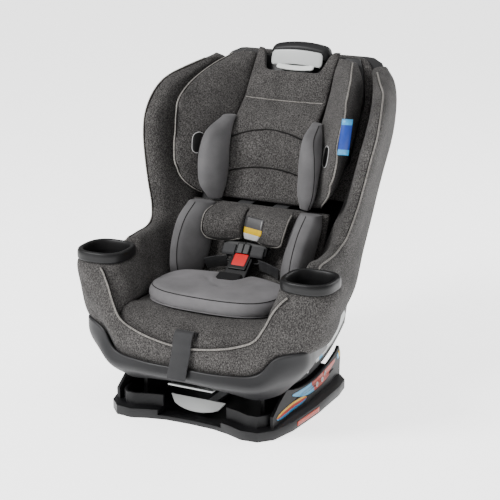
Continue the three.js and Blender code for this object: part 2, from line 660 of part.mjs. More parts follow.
// Rows of a headrest wing, each [front rim, outer back, inner back, inner front].
const headWingRows = [
  [[125, 152, 352], [112, 166, 352], [90, 168, 351], [90, 152, 351]],
  [[145, 117, 370], [130, 176, 368], [90, 180, 368], [90, 162, 368]],
  [[161, 100, 393], [142, 188, 388], [90, 192, 390], [90, 174, 392]],
  [[169, 94, 420], [148, 203, 412], [90, 206, 412], [90, 180, 420]],
  [[174, 100, 455], [154, 226, 448], [90, 226, 447], [90, 192, 455]],
  [[177, 106, 485], [157, 244, 480], [90, 244, 478], [90, 205, 487]],
  [[179, 117, 522], [158, 263, 512], [90, 262, 510], [90, 232, 520]],
  [[173, 145, 560], [156, 283, 545], [90, 286, 550], [90, 258, 556]],
  [[156, 207, 592], [148, 300, 575], [90, 307, 588], [90, 277, 593]],
  [[131, 279, 614], [130, 314, 604], [90, 318, 606], [90, 300, 616]],
];
addPair('headrest_wing', loft(smooth(placedRows(headWingRows), 16)), HEATHER);

// Rows of a head pad, each [inner back, inner front, front, outer front, outer back].
const headPadRows = [
  [[84, 142, 353], [88, 132, 354], [100, 126, 354], [108, 126, 354], [110, 134, 354]],
  [[82, 156, 380], [84, 128, 380], [106, 112, 380], [120, 116, 380], [122, 126, 380]],
  [[82, 166, 413], [84, 130, 413], [106, 110, 413], [124, 116, 413], [126, 132, 413]],
  [[82, 170, 450], [84, 135, 450], [104, 115, 450], [122, 120, 450], [126, 144, 450]],
  [[82, 183, 485], [84, 152, 485], [100, 130, 485], [114, 134, 485], [118, 166, 485]],
  [[83, 202, 505], [85, 190, 505], [94, 178, 505], [104, 180, 505], [104, 196, 505]],
];
addPair('head_pad', loft(smooth(placedRows(headPadRows), 14)), SMOOTH_GREY);

// ---------------------------------------------------------------- leg rest extension
// Rows of the panel's outer face, each [top, middle, bottom], from the middle to the end of an arm.
const panelRows = [
  [[0, -187, 124], [0, -192, 104], [0, -148, 79]],
  [[85, -186, 125], [88, -190, 103], [78, -148, 75]],
  [[146, -172, 132], [153, -178, 106], [126, -138, 66]],
  [[178, -160, 164], [190, -160, 128], [148, -128, 68]],
  [[222, -138, 174], [220, -134, 138], [168, -108, 76]],
  [[224, -104, 170], [222, -100, 138], [176, -74, 88]],
  [[213, -50, 156], [211, -48, 136], [184, -36, 104]],
  [[200, 18, 142], [199, 20, 130], [194, 12, 118]],
];

// Wall of the panel: its outer face, and the same face moved inwards.
function panelWall(rows) {
  return rows.map(([top, middle, bottom], i) => {
    const before = rows[Math.max(0, i - 1)][1];
    const after = rows[Math.min(rows.length - 1, i + 1)][1];
    const length = Math.hypot(after[0] - before[0], after[1] - before[1]);
    const nx = -(after[1] - before[1]) / length;
    const ny = (after[0] - before[0]) / length;
    const inner = ([x, y, z]) => [x + nx * PANEL_WALL, y + ny * PANEL_WALL, z];
    return [top, middle, bottom, inner(bottom), inner(middle), inner(top)];
  });
}

function extensionPanel() {
  const half = placedRows(panelRows);
  const left = half.slice(1).reverse().map((row) => row.map(([x, y, z]) => [-x, y, z]));
  return loft(smooth(panelWall([...left, ...half]), 44));
}
add('extension_panel', extensionPanel(), PANEL_GREY);

add('extension_release', plate([[-150, 70], [-136, 68], [-136, 71.5], [-150, 74]], -46, 46), SILVER);

// Steel rails of the extension, in guides under the seat.
const railX = wide(100);
const railHalf = EXTENSION_RAIL.width / 2;
const railLow = rockerArc(ROCKER_RADIUS - SHELL_WALL, -122, 0)[0][1] + 2 * GAP;
const railTop = railLow + EXTENSION_RAIL.height;
const railSection = [[-180, railLow], [60, railLow], [60, railTop], [-180, railTop]];
const guideHalf = railHalf + GUIDE_WALL;
addPair('extension_rail', plate(railSection, railX - railHalf, railX + railHalf), STEEL);
addPair('rail_guide', cut(
  block(railX - guideHalf, railX + guideHalf, -94, -62, railLow - 13, 163),
  plate(grown(railSection, GAP), railX - railHalf - GAP, railX + railHalf + GAP),
), BLACK);

// ---------------------------------------------------------------- behind the shell
// Piece behind the shell's back: t0 and t1 are parts of the back's length, near and far its depths.
const rearLine = shellLine.slice(9);
const along = (t) => [0, 1].map((k) => rearLine[0][k] + (rearLine[1][k] - rearLine[0][k]) * t);
function rearPiece(t0, t1, near, far, x0, x1) {
  return plate(band([along(t0), along(t1)], near, far), x0, x1);
}
const rearFace = -SHELL_WALL - 2 * GAP;

addPair('frame_bar', rearPiece(0.02, 0.97, rearFace - FRAME_BAR, rearFace, wide(126), wide(138)), STEEL);
const crossbarHalf = wide(126) - 2 * GAP;
const crossbar = rearPiece(0.9, 0.94, rearFace - FRAME_BAR, rearFace, -crossbarHalf, crossbarHalf);
add('frame_crossbar', crossbar, STEEL);
add('rear_cover', cut(
  rearPiece(0.04, 0.86, rearFace - 16, rearFace, -100, 100),
  rearPiece(0.06, 0.84, rearFace - 13, rearFace + 1, -96, 96),
), BLACK);
add('headrest_carriage', joined(
  rearPiece(0.12, 0.22, -SHELL_WALL - 5, -SHELL_WALL - 1.5, -36, 36),
  rearPiece(0.15, 0.19, -SHELL_WALL - 4, 9, -7, 7),
), STEEL);
add('tether_anchor', cut(
  rearPiece(0.955, 0.985, rearFace - 12, rearFace, -20, 20),
  rearPiece(0.94, 1.0, rearFace - 8, rearFace - 4, -14, 14),
), STEEL);

const levelWindow = new THREE.CylinderGeometry(4, 4, 2, 12).rotateZ(Math.PI / 2);
add('level_window', levelWindow.translate(SHELL_HALF + GAP + 1, 27, 69), SILVER);

export default seat;
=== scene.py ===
# %% [markdown]
# # A convertible child car seat
# The real object is a moulded plastic seat on a rocking base, dressed in knitted covers over foam.
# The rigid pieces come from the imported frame. The covers, pads, webbing and the curved mouldings are
# surfaces worked out here with numpy. All tables of points are in millimetres, as x, y, z, for the
# side at +x (the child's left); the other side is a mirror image.

# %% Load the frame
import json
import bpy
import bmesh
import numpy as np
from math import radians, sin, cos
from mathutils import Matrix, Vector

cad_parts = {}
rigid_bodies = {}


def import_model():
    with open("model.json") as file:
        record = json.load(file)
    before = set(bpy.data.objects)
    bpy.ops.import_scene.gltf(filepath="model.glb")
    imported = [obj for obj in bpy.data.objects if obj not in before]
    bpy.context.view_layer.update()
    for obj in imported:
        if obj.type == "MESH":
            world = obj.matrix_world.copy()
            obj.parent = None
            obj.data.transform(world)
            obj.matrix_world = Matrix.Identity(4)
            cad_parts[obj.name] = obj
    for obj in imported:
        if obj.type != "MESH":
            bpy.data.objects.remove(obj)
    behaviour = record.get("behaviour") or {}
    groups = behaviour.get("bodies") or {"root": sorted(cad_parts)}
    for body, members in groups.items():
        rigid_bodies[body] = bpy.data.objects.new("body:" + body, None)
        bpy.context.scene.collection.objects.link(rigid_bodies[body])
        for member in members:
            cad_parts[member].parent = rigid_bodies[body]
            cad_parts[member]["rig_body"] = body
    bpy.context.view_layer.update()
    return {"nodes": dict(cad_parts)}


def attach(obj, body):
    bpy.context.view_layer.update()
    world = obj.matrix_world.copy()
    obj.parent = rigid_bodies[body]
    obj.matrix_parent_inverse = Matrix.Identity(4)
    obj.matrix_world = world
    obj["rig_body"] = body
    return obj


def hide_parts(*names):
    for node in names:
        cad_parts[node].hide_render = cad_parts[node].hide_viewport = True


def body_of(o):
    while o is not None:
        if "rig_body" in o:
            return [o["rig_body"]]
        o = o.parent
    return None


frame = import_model()
nodes = frame["nodes"]

# %% [markdown]
# ## Camera and light
# A long lens at a three-quarter view, a pale floor that runs off past the view, and large soft lamps,
# as in a product studio. Large lamps give wide, soft shadows and gentle gloss on the plastic.

# %% Camera
azimuth, elevation = radians(26.52), radians(17.0)
backwards = Vector((sin(azimuth) * cos(elevation), -cos(azimuth) * cos(elevation), sin(elevation)))
camera = bpy.data.objects.new("camera", bpy.data.cameras.new("camera"))
bpy.context.scene.collection.objects.link(camera)
camera.location = (1.233, -2.375, 1.112)
camera.rotation_euler = backwards.to_track_quat("Z", "Y").to_euler()
camera.data.lens, camera.data.sensor_width = 108, 36
bpy.context.scene.camera = camera


# %% Lamps
def lamp(name, place, target, size, power, tint=(1, 1, 1)):
    """A square area lamp at a place, turned to face a target point."""
    light = bpy.data.lights.new(name, "AREA")
    light.shape, light.size, light.energy, light.color = "SQUARE", size, power, tint
    made = bpy.data.objects.new(name, light)
    bpy.context.scene.collection.objects.link(made)
    made.location = place
    made.rotation_euler = (Vector(place) - Vector(target)).to_track_quat("Z", "Y").to_euler()


lamp("key", (-1.5, -1.7, 2.4), (0, 0, 0.3), 1.1, 116)
lamp("fill", (2.2, -1.7, 1.3), (0, 0, 0.3), 1.6, 3)
lamp("top", (0.1, 0.2, 2.6), (0, 0.05, 0.3), 1.6, 12)
lamp("rim", (1.2, 2.0, 1.6), (0, 0.1, 0.4), 1.2, 26)

# %% [markdown]
# ## Helpers for materials
# Colours are written as sRGB hex codes, as a designer reads them off a swatch, and turned to the
# linear values a shader needs. One function adds a node with its settings and links.


# %% Colour and node helpers
def linear(code):
    """sRGB hex to linear RGBA: each channel is c/12.92 below 0.04045, else ((c + 0.055)/1.055)^2.4."""
    c = np.array([int(code[i:i + 2], 16) / 255 for i in (1, 3, 5)])
    low = c / 12.92
    high = ((c + 0.055) / 1.055) ** 2.4
    return (*[float(v) for v in np.where(c <= 0.04045, low, high)], 1.0)


def add(tree, kind, settings=(), inputs=()):
    """Adds one node. settings are its own options; an input is a value, or (node, output) to link."""
    made = tree.nodes.new(kind)
    for key, value in dict(settings).items():
        setattr(made, key, value)
    for key, value in dict(inputs).items():
        if isinstance(value, tuple) and isinstance(value[0], bpy.types.Node):
            tree.links.new(value[0].outputs[value[1]], made.inputs[key])
        else:
            made.inputs[key].default_value = value
    return made


def ramp(tree, source, stops, how="LINEAR"):
    """A colour ramp from a list of (place, hex code)."""
    made = add(tree, "ShaderNodeValToRGB", inputs={"Fac": source})
    made.color_ramp.interpolation = how
    while len(made.color_ramp.elements) < len(stops):
        made.color_ramp.elements.new(0.5)
    for element, (place, code) in zip(made.color_ramp.elements, stops):
        element.position, element.color = place, linear(code)
    return made


def new_material(name, **shader):
    """An empty material with its shader's plain sockets set; returns the material, tree, shader, coordinates."""
    made = bpy.data.materials.new(name)
    made.use_nodes = True
    tree = made.node_tree
    shading = tree.nodes["Principled BSDF"]
    for key, value in shader.items():
        shading.inputs[key.replace("_", " ")].default_value = value
    place = add(tree, "ShaderNodeTexCoord")
    return made, tree, shading, place


def bump(tree, shading, height, distance, strength=1.0):
    """Bump from a height, with its depth in metres."""
    made = add(tree, "ShaderNodeBump", inputs={"Strength": strength, "Distance": distance, "Height": height})
    tree.links.new(made.outputs["Normal"], shading.inputs["Normal"])


# %% [markdown]
# ## Materials
# Each one starts from what the real one is. The real yarns and plastic grain are about 0.3 to 0.8 mm,
# too fine to show at this distance, so their patterns are drawn two to four times as coarse. Every
# pattern reads the object's own coordinates in metres, so a scale of 600 makes marks of about 1.7 mm.

# %% [markdown]
# **Heather knit** covers the back, arms, seat and headrest. Black and pale yarns are spun together
# before knitting, so the cloth is speckled and quite matt. One noise gives the flecks and another the
# slow patches where the mix is lighter; a woven grid would look too regular.


# %% Heather knit
def heather_knit(name, dark, middle, light):
    """Polyester knit of mixed dark and light yarns over thin foam: speckled, matt, with short slubs."""
    made, tree, shading, place = new_material(
        name, Roughness=0.95, Sheen_Weight=0.04, Sheen_Roughness=0.6, Specular_IOR_Level=0.12)
    stretched = add(tree, "ShaderNodeMapping", inputs={"Vector": (place, "Object"), "Scale": (1.0, 1.0, 0.62)})
    # Yarn flecks about 1.7 mm wide and 2.7 mm long, and the knit's own loops about 1.3 mm.
    flecks = add(tree, "ShaderNodeTexNoise", inputs={
        "Vector": (stretched, "Vector"), "Scale": 600.0, "Detail": 3.0, "Roughness": 0.72, "Distortion": 0.35})
    loops = add(tree, "ShaderNodeTexVoronoi", inputs={"Vector": (place, "Object"), "Scale": 780.0})
    patches = add(tree, "ShaderNodeTexNoise", inputs={"Vector": (place, "Object"), "Scale": 26.0, "Detail": 2.0})
    tone = ramp(tree, (flecks, "Fac"), [(0.36, dark), (0.5, middle), (0.68, light)])
    shade = ramp(tree, (patches, "Fac"), [(0.3, "#dcdcdc"), (0.7, "#ffffff")])
    mixed = add(tree, "ShaderNodeMix", {"data_type": "RGBA", "blend_type": "MULTIPLY"},
                {0: 1.0, 6: (tone, "Color"), 7: (shade, "Color")})
    tree.links.new(mixed.outputs[2], shading.inputs["Base Color"])
    height = add(tree, "ShaderNodeMath", {"operation": "ADD"}, {0: (flecks, "Fac"), 1: (loops, "Distance")})
    bump(tree, shading, (height, "Value"), 0.0007, 0.6)
    return made


KNIT = heather_knit("heather_knit", "#1b1a1a", "#434140", "#6c6a68")
PIPING_KNIT = heather_knit("heather_knit_piping", "#5d5a57", "#7d7a76", "#98948f")
# Painted shade: a near-black copy of the knit, laid in thin tubes along the seams and beside the piping, where the
# creases' shadow falls.
SEAM_SHADE = heather_knit("sewn_seam_shadow", "#0c0b0b", "#151413", "#22201f")


# %% [markdown]
# **Brushed tricot** covers the infant insert and the head pads. Its pile hides the loops, so it needs
# only faint clouds of tone, a very fine bump, and a little sheen where it turns away.


# %% Brushed tricot
def brushed_tricot(name, low, high):
    """Thin brushed polyester tricot: smooth, matt, a little lighter where it curves away."""
    made, tree, shading, place = new_material(
        name, Roughness=0.88, Sheen_Weight=0.1, Sheen_Roughness=0.4, Specular_IOR_Level=0.2)
    ribs = add(tree, "ShaderNodeTexNoise", inputs={"Vector": (place, "Object"), "Scale": 1500.0, "Detail": 2.0})
    clouds = add(tree, "ShaderNodeTexNoise", inputs={"Vector": (place, "Object"), "Scale": 18.0, "Detail": 3.0})
    both = add(tree, "ShaderNodeMath", {"operation": "MULTIPLY_ADD"},
               {0: (ribs, "Fac"), 1: 0.35, 2: (clouds, "Fac")})
    tone = ramp(tree, (both, "Value"), [(0.42, low), (0.95, high)])
    tree.links.new(tone.outputs["Color"], shading.inputs["Base Color"])
    bump(tree, shading, (ribs, "Fac"), 0.00025, 0.5)
    return made


TRICOT = brushed_tricot("brushed_tricot", "#4d4c4d", "#636263")
TRICOT_LIGHT = brushed_tricot("brushed_tricot_cushion", "#5a595a", "#716f71")


# %% [markdown]
# **Moulded plastic** is black polypropylene for the shell and base, with silver and red ABS for what the
# hand works. The mould's grain breaks up the gloss, and rubbed edges are slightly paler.


# %% Moulded plastic
def moulded(name, low, high, roughness, grain=0.00012, **more):
    """Injection-moulded plastic with a spark-eroded grain: even colour, fine sparkle, rubbed edges."""
    made, tree, shading, place = new_material(name, Roughness=roughness, **more)
    pits = add(tree, "ShaderNodeTexNoise", inputs={"Vector": (place, "Object"), "Scale": 900.0, "Detail": 3.0})
    flow = add(tree, "ShaderNodeTexNoise", inputs={"Vector": (place, "Object"), "Scale": 9.0, "Detail": 2.0})
    tone = ramp(tree, (flow, "Fac"), [(0.3, low), (0.7, high)])
    worn = add(tree, "ShaderNodeNewGeometry")
    edge = ramp(tree, (worn, "Pointiness"), [(0.52, "#000000"), (0.66, "#0d0d0d")])
    colour = add(tree, "ShaderNodeMix", {"data_type": "RGBA", "blend_type": "ADD"},
                 {0: 1.0, 6: (tone, "Color"), 7: (edge, "Color")})
    tree.links.new(colour.outputs[2], shading.inputs["Base Color"])
    shine = add(tree, "ShaderNodeMapRange", inputs={
        "Value": (flow, "Fac"), "From Min": 0.3, "From Max": 0.7,
        "To Min": roughness - 0.04, "To Max": roughness + 0.06})
    tree.links.new(shine.outputs["Result"], shading.inputs["Roughness"])
    bump(tree, shading, (pits, "Fac"), grain, 0.6)
    return made


POLYPROPYLENE = moulded("moulded_polypropylene_black", "#08080a", "#0c0c0e", 0.48, Specular_IOR_Level=0.3)
PANEL_PLASTIC = moulded("moulded_polypropylene_grey", "#0f0f11", "#151517", 0.48, Specular_IOR_Level=0.4)
SILVER_ABS = moulded("moulded_abs_silver", "#a9abaa", "#b8bab9", 0.34, 0.00005)
RED_ABS = moulded("moulded_abs_red", "#c0060c", "#cf0a10", 0.3, 0.00004)
STRIP_PLASTIC = moulded("moulded_abs_pale_strip", "#cfd1cf", "#dcdedc", 0.4, 0.00005)
CUP_PLASTIC = moulded("moulded_polypropylene_cup", "#060607", "#0a0a0b", 0.44, Specular_IOR_Level=0.3)
RUBBER = moulded("moulded_rubber", "#171717", "#1e1e1e", 0.8, 0.0002)


# %% [markdown]
# **Steel and foam** are mostly hidden: pressed steel with a zinc finish behind the back, and blocks of
# moulded bead foam under the covers.


# %% Steel
def zinc_steel(name):
    """Zinc-plated pressed steel: cool grey crystals with faint rolling lines."""
    made, tree, shading, place = new_material(name, Metallic=1.0, Roughness=0.38)
    crystals = add(tree, "ShaderNodeTexVoronoi", inputs={"Vector": (place, "Object"), "Scale": 240.0})
    lines = add(tree, "ShaderNodeTexNoise", inputs={"Vector": (place, "Object"), "Scale": 60.0, "Detail": 6.0})
    tone = ramp(tree, (crystals, "Distance"), [(0.0, "#8d9092"), (0.6, "#a9acae")])
    tree.links.new(tone.outputs["Color"], shading.inputs["Base Color"])
    rough = add(tree, "ShaderNodeMapRange", inputs={"Value": (lines, "Fac"), "To Min": 0.3, "To Max": 0.5})
    tree.links.new(rough.outputs["Result"], shading.inputs["Roughness"])
    bump(tree, shading, (lines, "Fac"), 0.0001, 0.3)
    return made


STEEL = zinc_steel("zinc_plated_steel")


# %% Bead foam
def bead_foam(name):
    """Expanded bead foam: charcoal beads about 4 mm across, pressed together."""
    made, tree, shading, place = new_material(name, Roughness=0.9)
    beads = add(tree, "ShaderNodeTexVoronoi", {"feature": "DISTANCE_TO_EDGE"},
                {"Vector": (place, "Object"), "Scale": 240.0})
    tone = ramp(tree, (beads, "Distance"), [(0.0, "#141414"), (0.25, "#262627")])
    tree.links.new(tone.outputs["Color"], shading.inputs["Base Color"])
    bump(tree, shading, (beads, "Distance"), 0.0006, 0.5)
    return made


FOAM = bead_foam("expanded_bead_foam")


# %% [markdown]
# **Webbing** is a dense twill of polyester. The ribs run along the strap, so this material alone reads a
# UV map, in metres, and not the object's coordinates.


# %% Webbing
def polyester_webbing(name):
    """Woven polyester webbing: diagonal twill ribs in the strap's own UV, in metres."""
    made, tree, shading, place = new_material(name, Roughness=0.62, Sheen_Weight=0.15, Specular_IOR_Level=0.4)
    split = add(tree, "ShaderNodeSeparateXYZ", inputs={"Vector": (place, "UV")})
    # Real ribs are 1 mm apart; these are 2.5 mm so that they show.
    folded = add(tree, "ShaderNodeMath", {"operation": "PINGPONG"}, {0: (split, "Y"), 1: 0.0095})
    slant = add(tree, "ShaderNodeMath", {"operation": "ADD"}, {0: (split, "X"), 1: (folded, "Value")})
    ribs = add(tree, "ShaderNodeMath", {"operation": "PINGPONG"}, {0: (slant, "Value"), 1: 0.00125})
    grain = add(tree, "ShaderNodeTexNoise", inputs={"Vector": (place, "UV"), "Scale": 900.0, "Detail": 2.0})
    height = add(tree, "ShaderNodeMath", {"operation": "MULTIPLY_ADD"},
                 {0: (ribs, "Value"), 1: 500.0, 2: (grain, "Fac")})
    tone = ramp(tree, (height, "Value"), [(0.3, "#070708"), (1.0, "#18181b")])
    tree.links.new(tone.outputs["Color"], shading.inputs["Base Color"])
    bump(tree, shading, (height, "Value"), 0.0003, 0.8)
    return made


WEBBING = polyester_webbing("polyester_webbing")
BOOT_CLOTH = brushed_tricot("neoprene_boot", "#0d0d0e", "#171718")


# %% [markdown]
# **Printed labels** are flat ink under a satin film. The bands are a stepped ramp over each label's UV.


# %% Printed labels
def printed_vinyl(name, stops, axis="Y"):
    """Printed vinyl label: flat bands of colour across the label's own UV, under a satin film."""
    made, tree, shading, place = new_material(name, Roughness=0.35)
    split = add(tree, "ShaderNodeSeparateXYZ", inputs={"Vector": (place, "UV")})
    bands = ramp(tree, (split, axis), stops, "CONSTANT")
    dust = add(tree, "ShaderNodeTexNoise", inputs={"Vector": (place, "Object"), "Scale": 300.0, "Detail": 3.0})
    shade = ramp(tree, (dust, "Fac"), [(0.3, "#ececec"), (0.7, "#ffffff")])
    mixed = add(tree, "ShaderNodeMix", {"data_type": "RGBA", "blend_type": "MULTIPLY"},
                {0: 1.0, 6: (bands, "Color"), 7: (shade, "Color")})
    tree.links.new(mixed.outputs[2], shading.inputs["Base Color"])
    bump(tree, shading, (dust, "Fac"), 0.00004, 0.3)
    return made


BASE_LABEL = printed_vinyl("printed_vinyl_three_colours",
                           [(0.0, "#2f7fb0"), (0.34, "#b02a08"), (0.72, "#d8a818")], "X")
ARC_LABEL = printed_vinyl("printed_vinyl_arc", [(0.0, "#3f8fb8"), (0.42, "#a82806"), (0.95, "#0c0c0c")], "Y")
REAR_LABEL = printed_vinyl("printed_vinyl_rear", [(0.0, "#3f8fb8"), (0.5, "#d8b01e")], "Y")
STRIP_LABEL = printed_vinyl("printed_vinyl_strip", [(0.0, "#b9bcba"), (0.1, "#4f93b4"), (0.22, "#b9bcba")], "Y")
SHOULDER_LABEL = printed_vinyl("printed_satin_label", [(0.0, "#c4c4c4"), (0.3, "#d0a900"), (0.56, "#3c3b3c")], "Y")
TAG = printed_vinyl("printed_blue_tag", [(0.0, "#3a95cc"), (0.16, "#163a94"), (0.84, "#3a95cc")], "Y")
RIM_LABEL = printed_vinyl("printed_vinyl_rim", [(0.0, "#a02606"), (0.5, "#b43410")], "X")
WHITE_PRINT = printed_vinyl("printed_white_mark", [(0.0, "#c9c9c9"), (0.5, "#d4d4d4")])
BADGE_INK = printed_vinyl("printed_black_badge", [(0.0, "#050505"), (0.5, "#080808")])

print("materials:", len(bpy.data.materials))

# %% [markdown]
# ## Helpers for shapes
# A piece is a grid of points: rows along it and columns round or across it. A few rows measured on the
# object are joined by smooth curves, first round each row and then from row to row.


# %% Smooth curves through rows
def through(rows, count, closed=False):
    """Smooth curves through the rows (axis 0). Each stretch is a cubic whose end slopes are the average of
    the slopes on either side, weighted by the spacing; steps go with the square root of the distance."""
    c = np.asarray(rows, float)
    if closed:
        c = np.concatenate([c[-1:], c, c[:2]])
    flat = c.reshape(len(c), -1, c.shape[-1])
    step = np.maximum(np.sqrt(np.linalg.norm(np.diff(flat, axis=0), axis=2).mean(1)), 1e-3)
    t = np.concatenate([[0], np.cumsum(step)])
    d = np.diff(flat, axis=0) / step[:, None, None]
    a, b = step[:-1, None, None], step[1:, None, None]
    slope = np.concatenate([d[:1], (d[:-1] * b + d[1:] * a) / (a + b), d[-1:]])
    low, high = (t[1], t[-2]) if closed else (t[0], t[-1])
    s = np.linspace(low, high, count, endpoint=not closed)
    i = np.clip(np.searchsorted(t, s, side="right") - 1, 0, len(t) - 2)
    u = ((s - t[i]) / step[i])[:, None, None]
    h = step[i][:, None, None]
    value = ((2 * u**3 - 3 * u**2 + 1) * flat[i] + (u**3 - 2 * u**2 + u) * h * slope[i]
             + (3 * u**2 - 2 * u**3) * flat[i + 1] + (u**3 - u**2) * h * slope[i + 1])
    return value.reshape((count,) + c.shape[1:])


def loft(rows, along, around):
    """Grid through closed rows: each row is smoothed round, then the rows are smoothed along."""
    ringed = np.stack([through(row, around, closed=True) for row in rows])
    return through(ringed, along)


DOME_ROWS = 5


def domed(grid, depth):
    """Rounds off both ends: each end row shrinks as cos(a) while it moves out by depth * sin(a)."""
    angle = np.linspace(0, np.pi / 2, DOME_ROWS + 1)[1:]
    ends = []
    for end, beside in ((grid[0], grid[1]), (grid[-1], grid[-2])):
        middle = end.mean(0)
        out = middle - beside.mean(0)
        out = out / max(np.linalg.norm(out), 1e-9)
        shrink = np.cos(angle)[:, None, None] * 0.98 + 0.02
        ends.append(middle + (end - middle)[None] * shrink + out * (depth * np.sin(angle))[:, None, None])
    return np.concatenate([ends[0][::-1], grid, ends[1]])


# %% Grids to meshes
def to_object(name, points, faces, uv=None):
    """Mesh object from points in millimetres, with normals turned outwards and soft shading."""
    mesh = bpy.data.meshes.new(name)
    mesh.from_pydata((np.asarray(points) / 1000).tolist(), [], faces)
    if uv is not None:
        layer = mesh.uv_layers.new(name="UVMap")
        loops = np.zeros(len(mesh.loops), np.int32)
        mesh.loops.foreach_get("vertex_index", loops)
        layer.data.foreach_set("uv", np.asarray(uv, np.float32)[loops].ravel())
    work = bmesh.new()
    work.from_mesh(mesh)
    bmesh.ops.recalc_face_normals(work, faces=work.faces)
    work.to_mesh(mesh)
    work.free()
    mesh.shade_smooth()
    made = bpy.data.objects.new(name, mesh)
    bpy.context.scene.collection.objects.link(made)
    return made


def grid_object(name, grid, wrap=False, loop=False, uv=None):
    """Object from a grid. wrap joins the last column to the first, and the open ends get a middle point;
    loop joins the last row to the first."""
    rows, cols = grid.shape[:2]
    index = np.arange(rows * cols).reshape(rows, cols)
    index = np.concatenate([index, index[:, :1]], 1) if wrap else index
    index = np.concatenate([index, index[:1]], 0) if loop else index
    faces = np.stack([index[:-1, :-1], index[:-1, 1:], index[1:, 1:], index[1:, :-1]], -1).reshape(-1, 4).tolist()
    points = grid.reshape(-1, 3)
    if wrap and not loop:
        points = np.vstack([points, grid[0].mean(0), grid[-1].mean(0)])
        first, last = rows * cols, rows * cols + 1
        faces += np.stack([index[0, 1:], index[0, :-1], np.full(cols, first)], -1).tolist()
        faces += np.stack([index[-1, :-1], index[-1, 1:], np.full(cols, last)], -1).tolist()
    return to_object(name, points, faces, uv)


# The two sides: the name's ending, and what x, y and z are multiplied by.
SIDES = (("left", np.array([1.0, 1.0, 1.0])), ("right", np.array([-1.0, 1.0, 1.0])))


def mirror(grid):
    """The same points on the other side of the seat."""
    return grid * SIDES[1][1]


def slopes(grid):
    """Unit normals of a grid: the cross product of its two directions."""
    n = np.cross(np.gradient(grid, axis=0), np.gradient(grid, axis=1))
    return n / np.maximum(np.linalg.norm(n, axis=2, keepdims=True), 1e-9)


def finish(piece, material, body, slot, replaces=()):
    """Gives a piece its material and body, and the CAD nodes it stands for; the slot is not used."""
    piece.data.materials.append(material)
    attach(piece, body)
    if replaces:
        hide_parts(*replaces)
    return piece


def both_sides(name, grid, material, body, slot, replaces):
    """A padded piece at +x and its mirror image, for nodes whose names end in _left and _right."""
    return [finish(grid_object(f"{name}_{side}", grid * turn, wrap=True), material, body, slot,
                   [f"{n}_{side}" for n in replaces]) for side, turn in SIDES]


# %% Tubes along a path
def tube_grid(path, radius, up, sides=8):
    """Points round a path: centre + radius (cos a * N + sin a * B), N being "up" made square to the path."""
    tangent = np.gradient(path, axis=0)
    tangent /= np.linalg.norm(tangent, axis=1, keepdims=True)
    up = np.broadcast_to(np.asarray(up, float), path.shape)
    across = up - (up * tangent).sum(1, keepdims=True) * tangent
    across /= np.maximum(np.linalg.norm(across, axis=1, keepdims=True), 1e-9)
    other = np.cross(tangent, across)
    angle = np.arange(sides) * 2 * np.pi / sides
    return (path[:, None] + radius * (np.cos(angle)[None, :, None] * across[:, None]
                                      + np.sin(angle)[None, :, None] * other[:, None]))


def settle(path, grid, lift):
    """Moves a path onto a surface: each point goes to the nearest grid point plus lift along the outward
    normal, and the move is then averaged with its neighbours' so that the path runs smoothly."""
    flat = grid.reshape(-1, 3)
    normal = slopes(grid).reshape(-1, 3)
    outward = np.sign((normal * (flat - flat.mean(0))).sum())
    distance = ((path[:, None] - flat[None]) ** 2).sum(2)
    near = distance.argmin(1)
    n = normal[near] * outward
    shift = -((path - flat[near]) * n).sum(1, keepdims=True) * n + n * lift
    n = n.copy()
    for _ in range(24):
        shift[1:-1] = (shift[:-2] + 2 * shift[1:-1] + shift[2:]) / 4
        n[1:-1] = (n[:-2] + 2 * n[1:-1] + n[2:]) / 4
    return path + shift, n / np.linalg.norm(n, axis=1, keepdims=True)


def piping(name, path, normals, body, radius):
    """Piping: a cord in a folded strip of knit, in a slightly wider, lower, dark tube for the seam's shadow."""
    shadow_bed = tube_grid(path - normals * radius * 0.55, radius * 1.25, normals)
    finish(grid_object(f"{name}_bed", shadow_bed, wrap=True), SEAM_SHADE, body, "heather")
    cord = tube_grid(path, radius, normals)
    finish(grid_object(name, cord, wrap=True), PIPING_KNIT, body, "heather")


def seam_shade_line(name, path, normals, body, radius=0.8, slot="smooth"):
    """A sewn seam: a thin dark tube, painted shade where two panels are drawn together."""
    finish(grid_object(name, tube_grid(path, radius, normals, 6), wrap=True), SEAM_SHADE, body, slot)


def sewn_on_both(sew, name, path, grid, lift, body, *more):
    """The same piping or seam on both sides: settled on the +x grid, and mirrored for the other."""
    path, normals = settle(path, grid, lift)
    for side, turn in SIDES:
        sew(f"{name}_{side}", path * turn, normals * turn, body, *more)


print("helpers ready")

# %% [markdown]
# ## Wing and arm covers
# On the real seat one padded knit cover runs from beside the child's head, down the side of the back and
# forward over the arm, where the cup holder drops into it. It could be carved out of a block, but a loft
# suits it: each row is a slice through the padding, six points round, and the rows follow the side down.

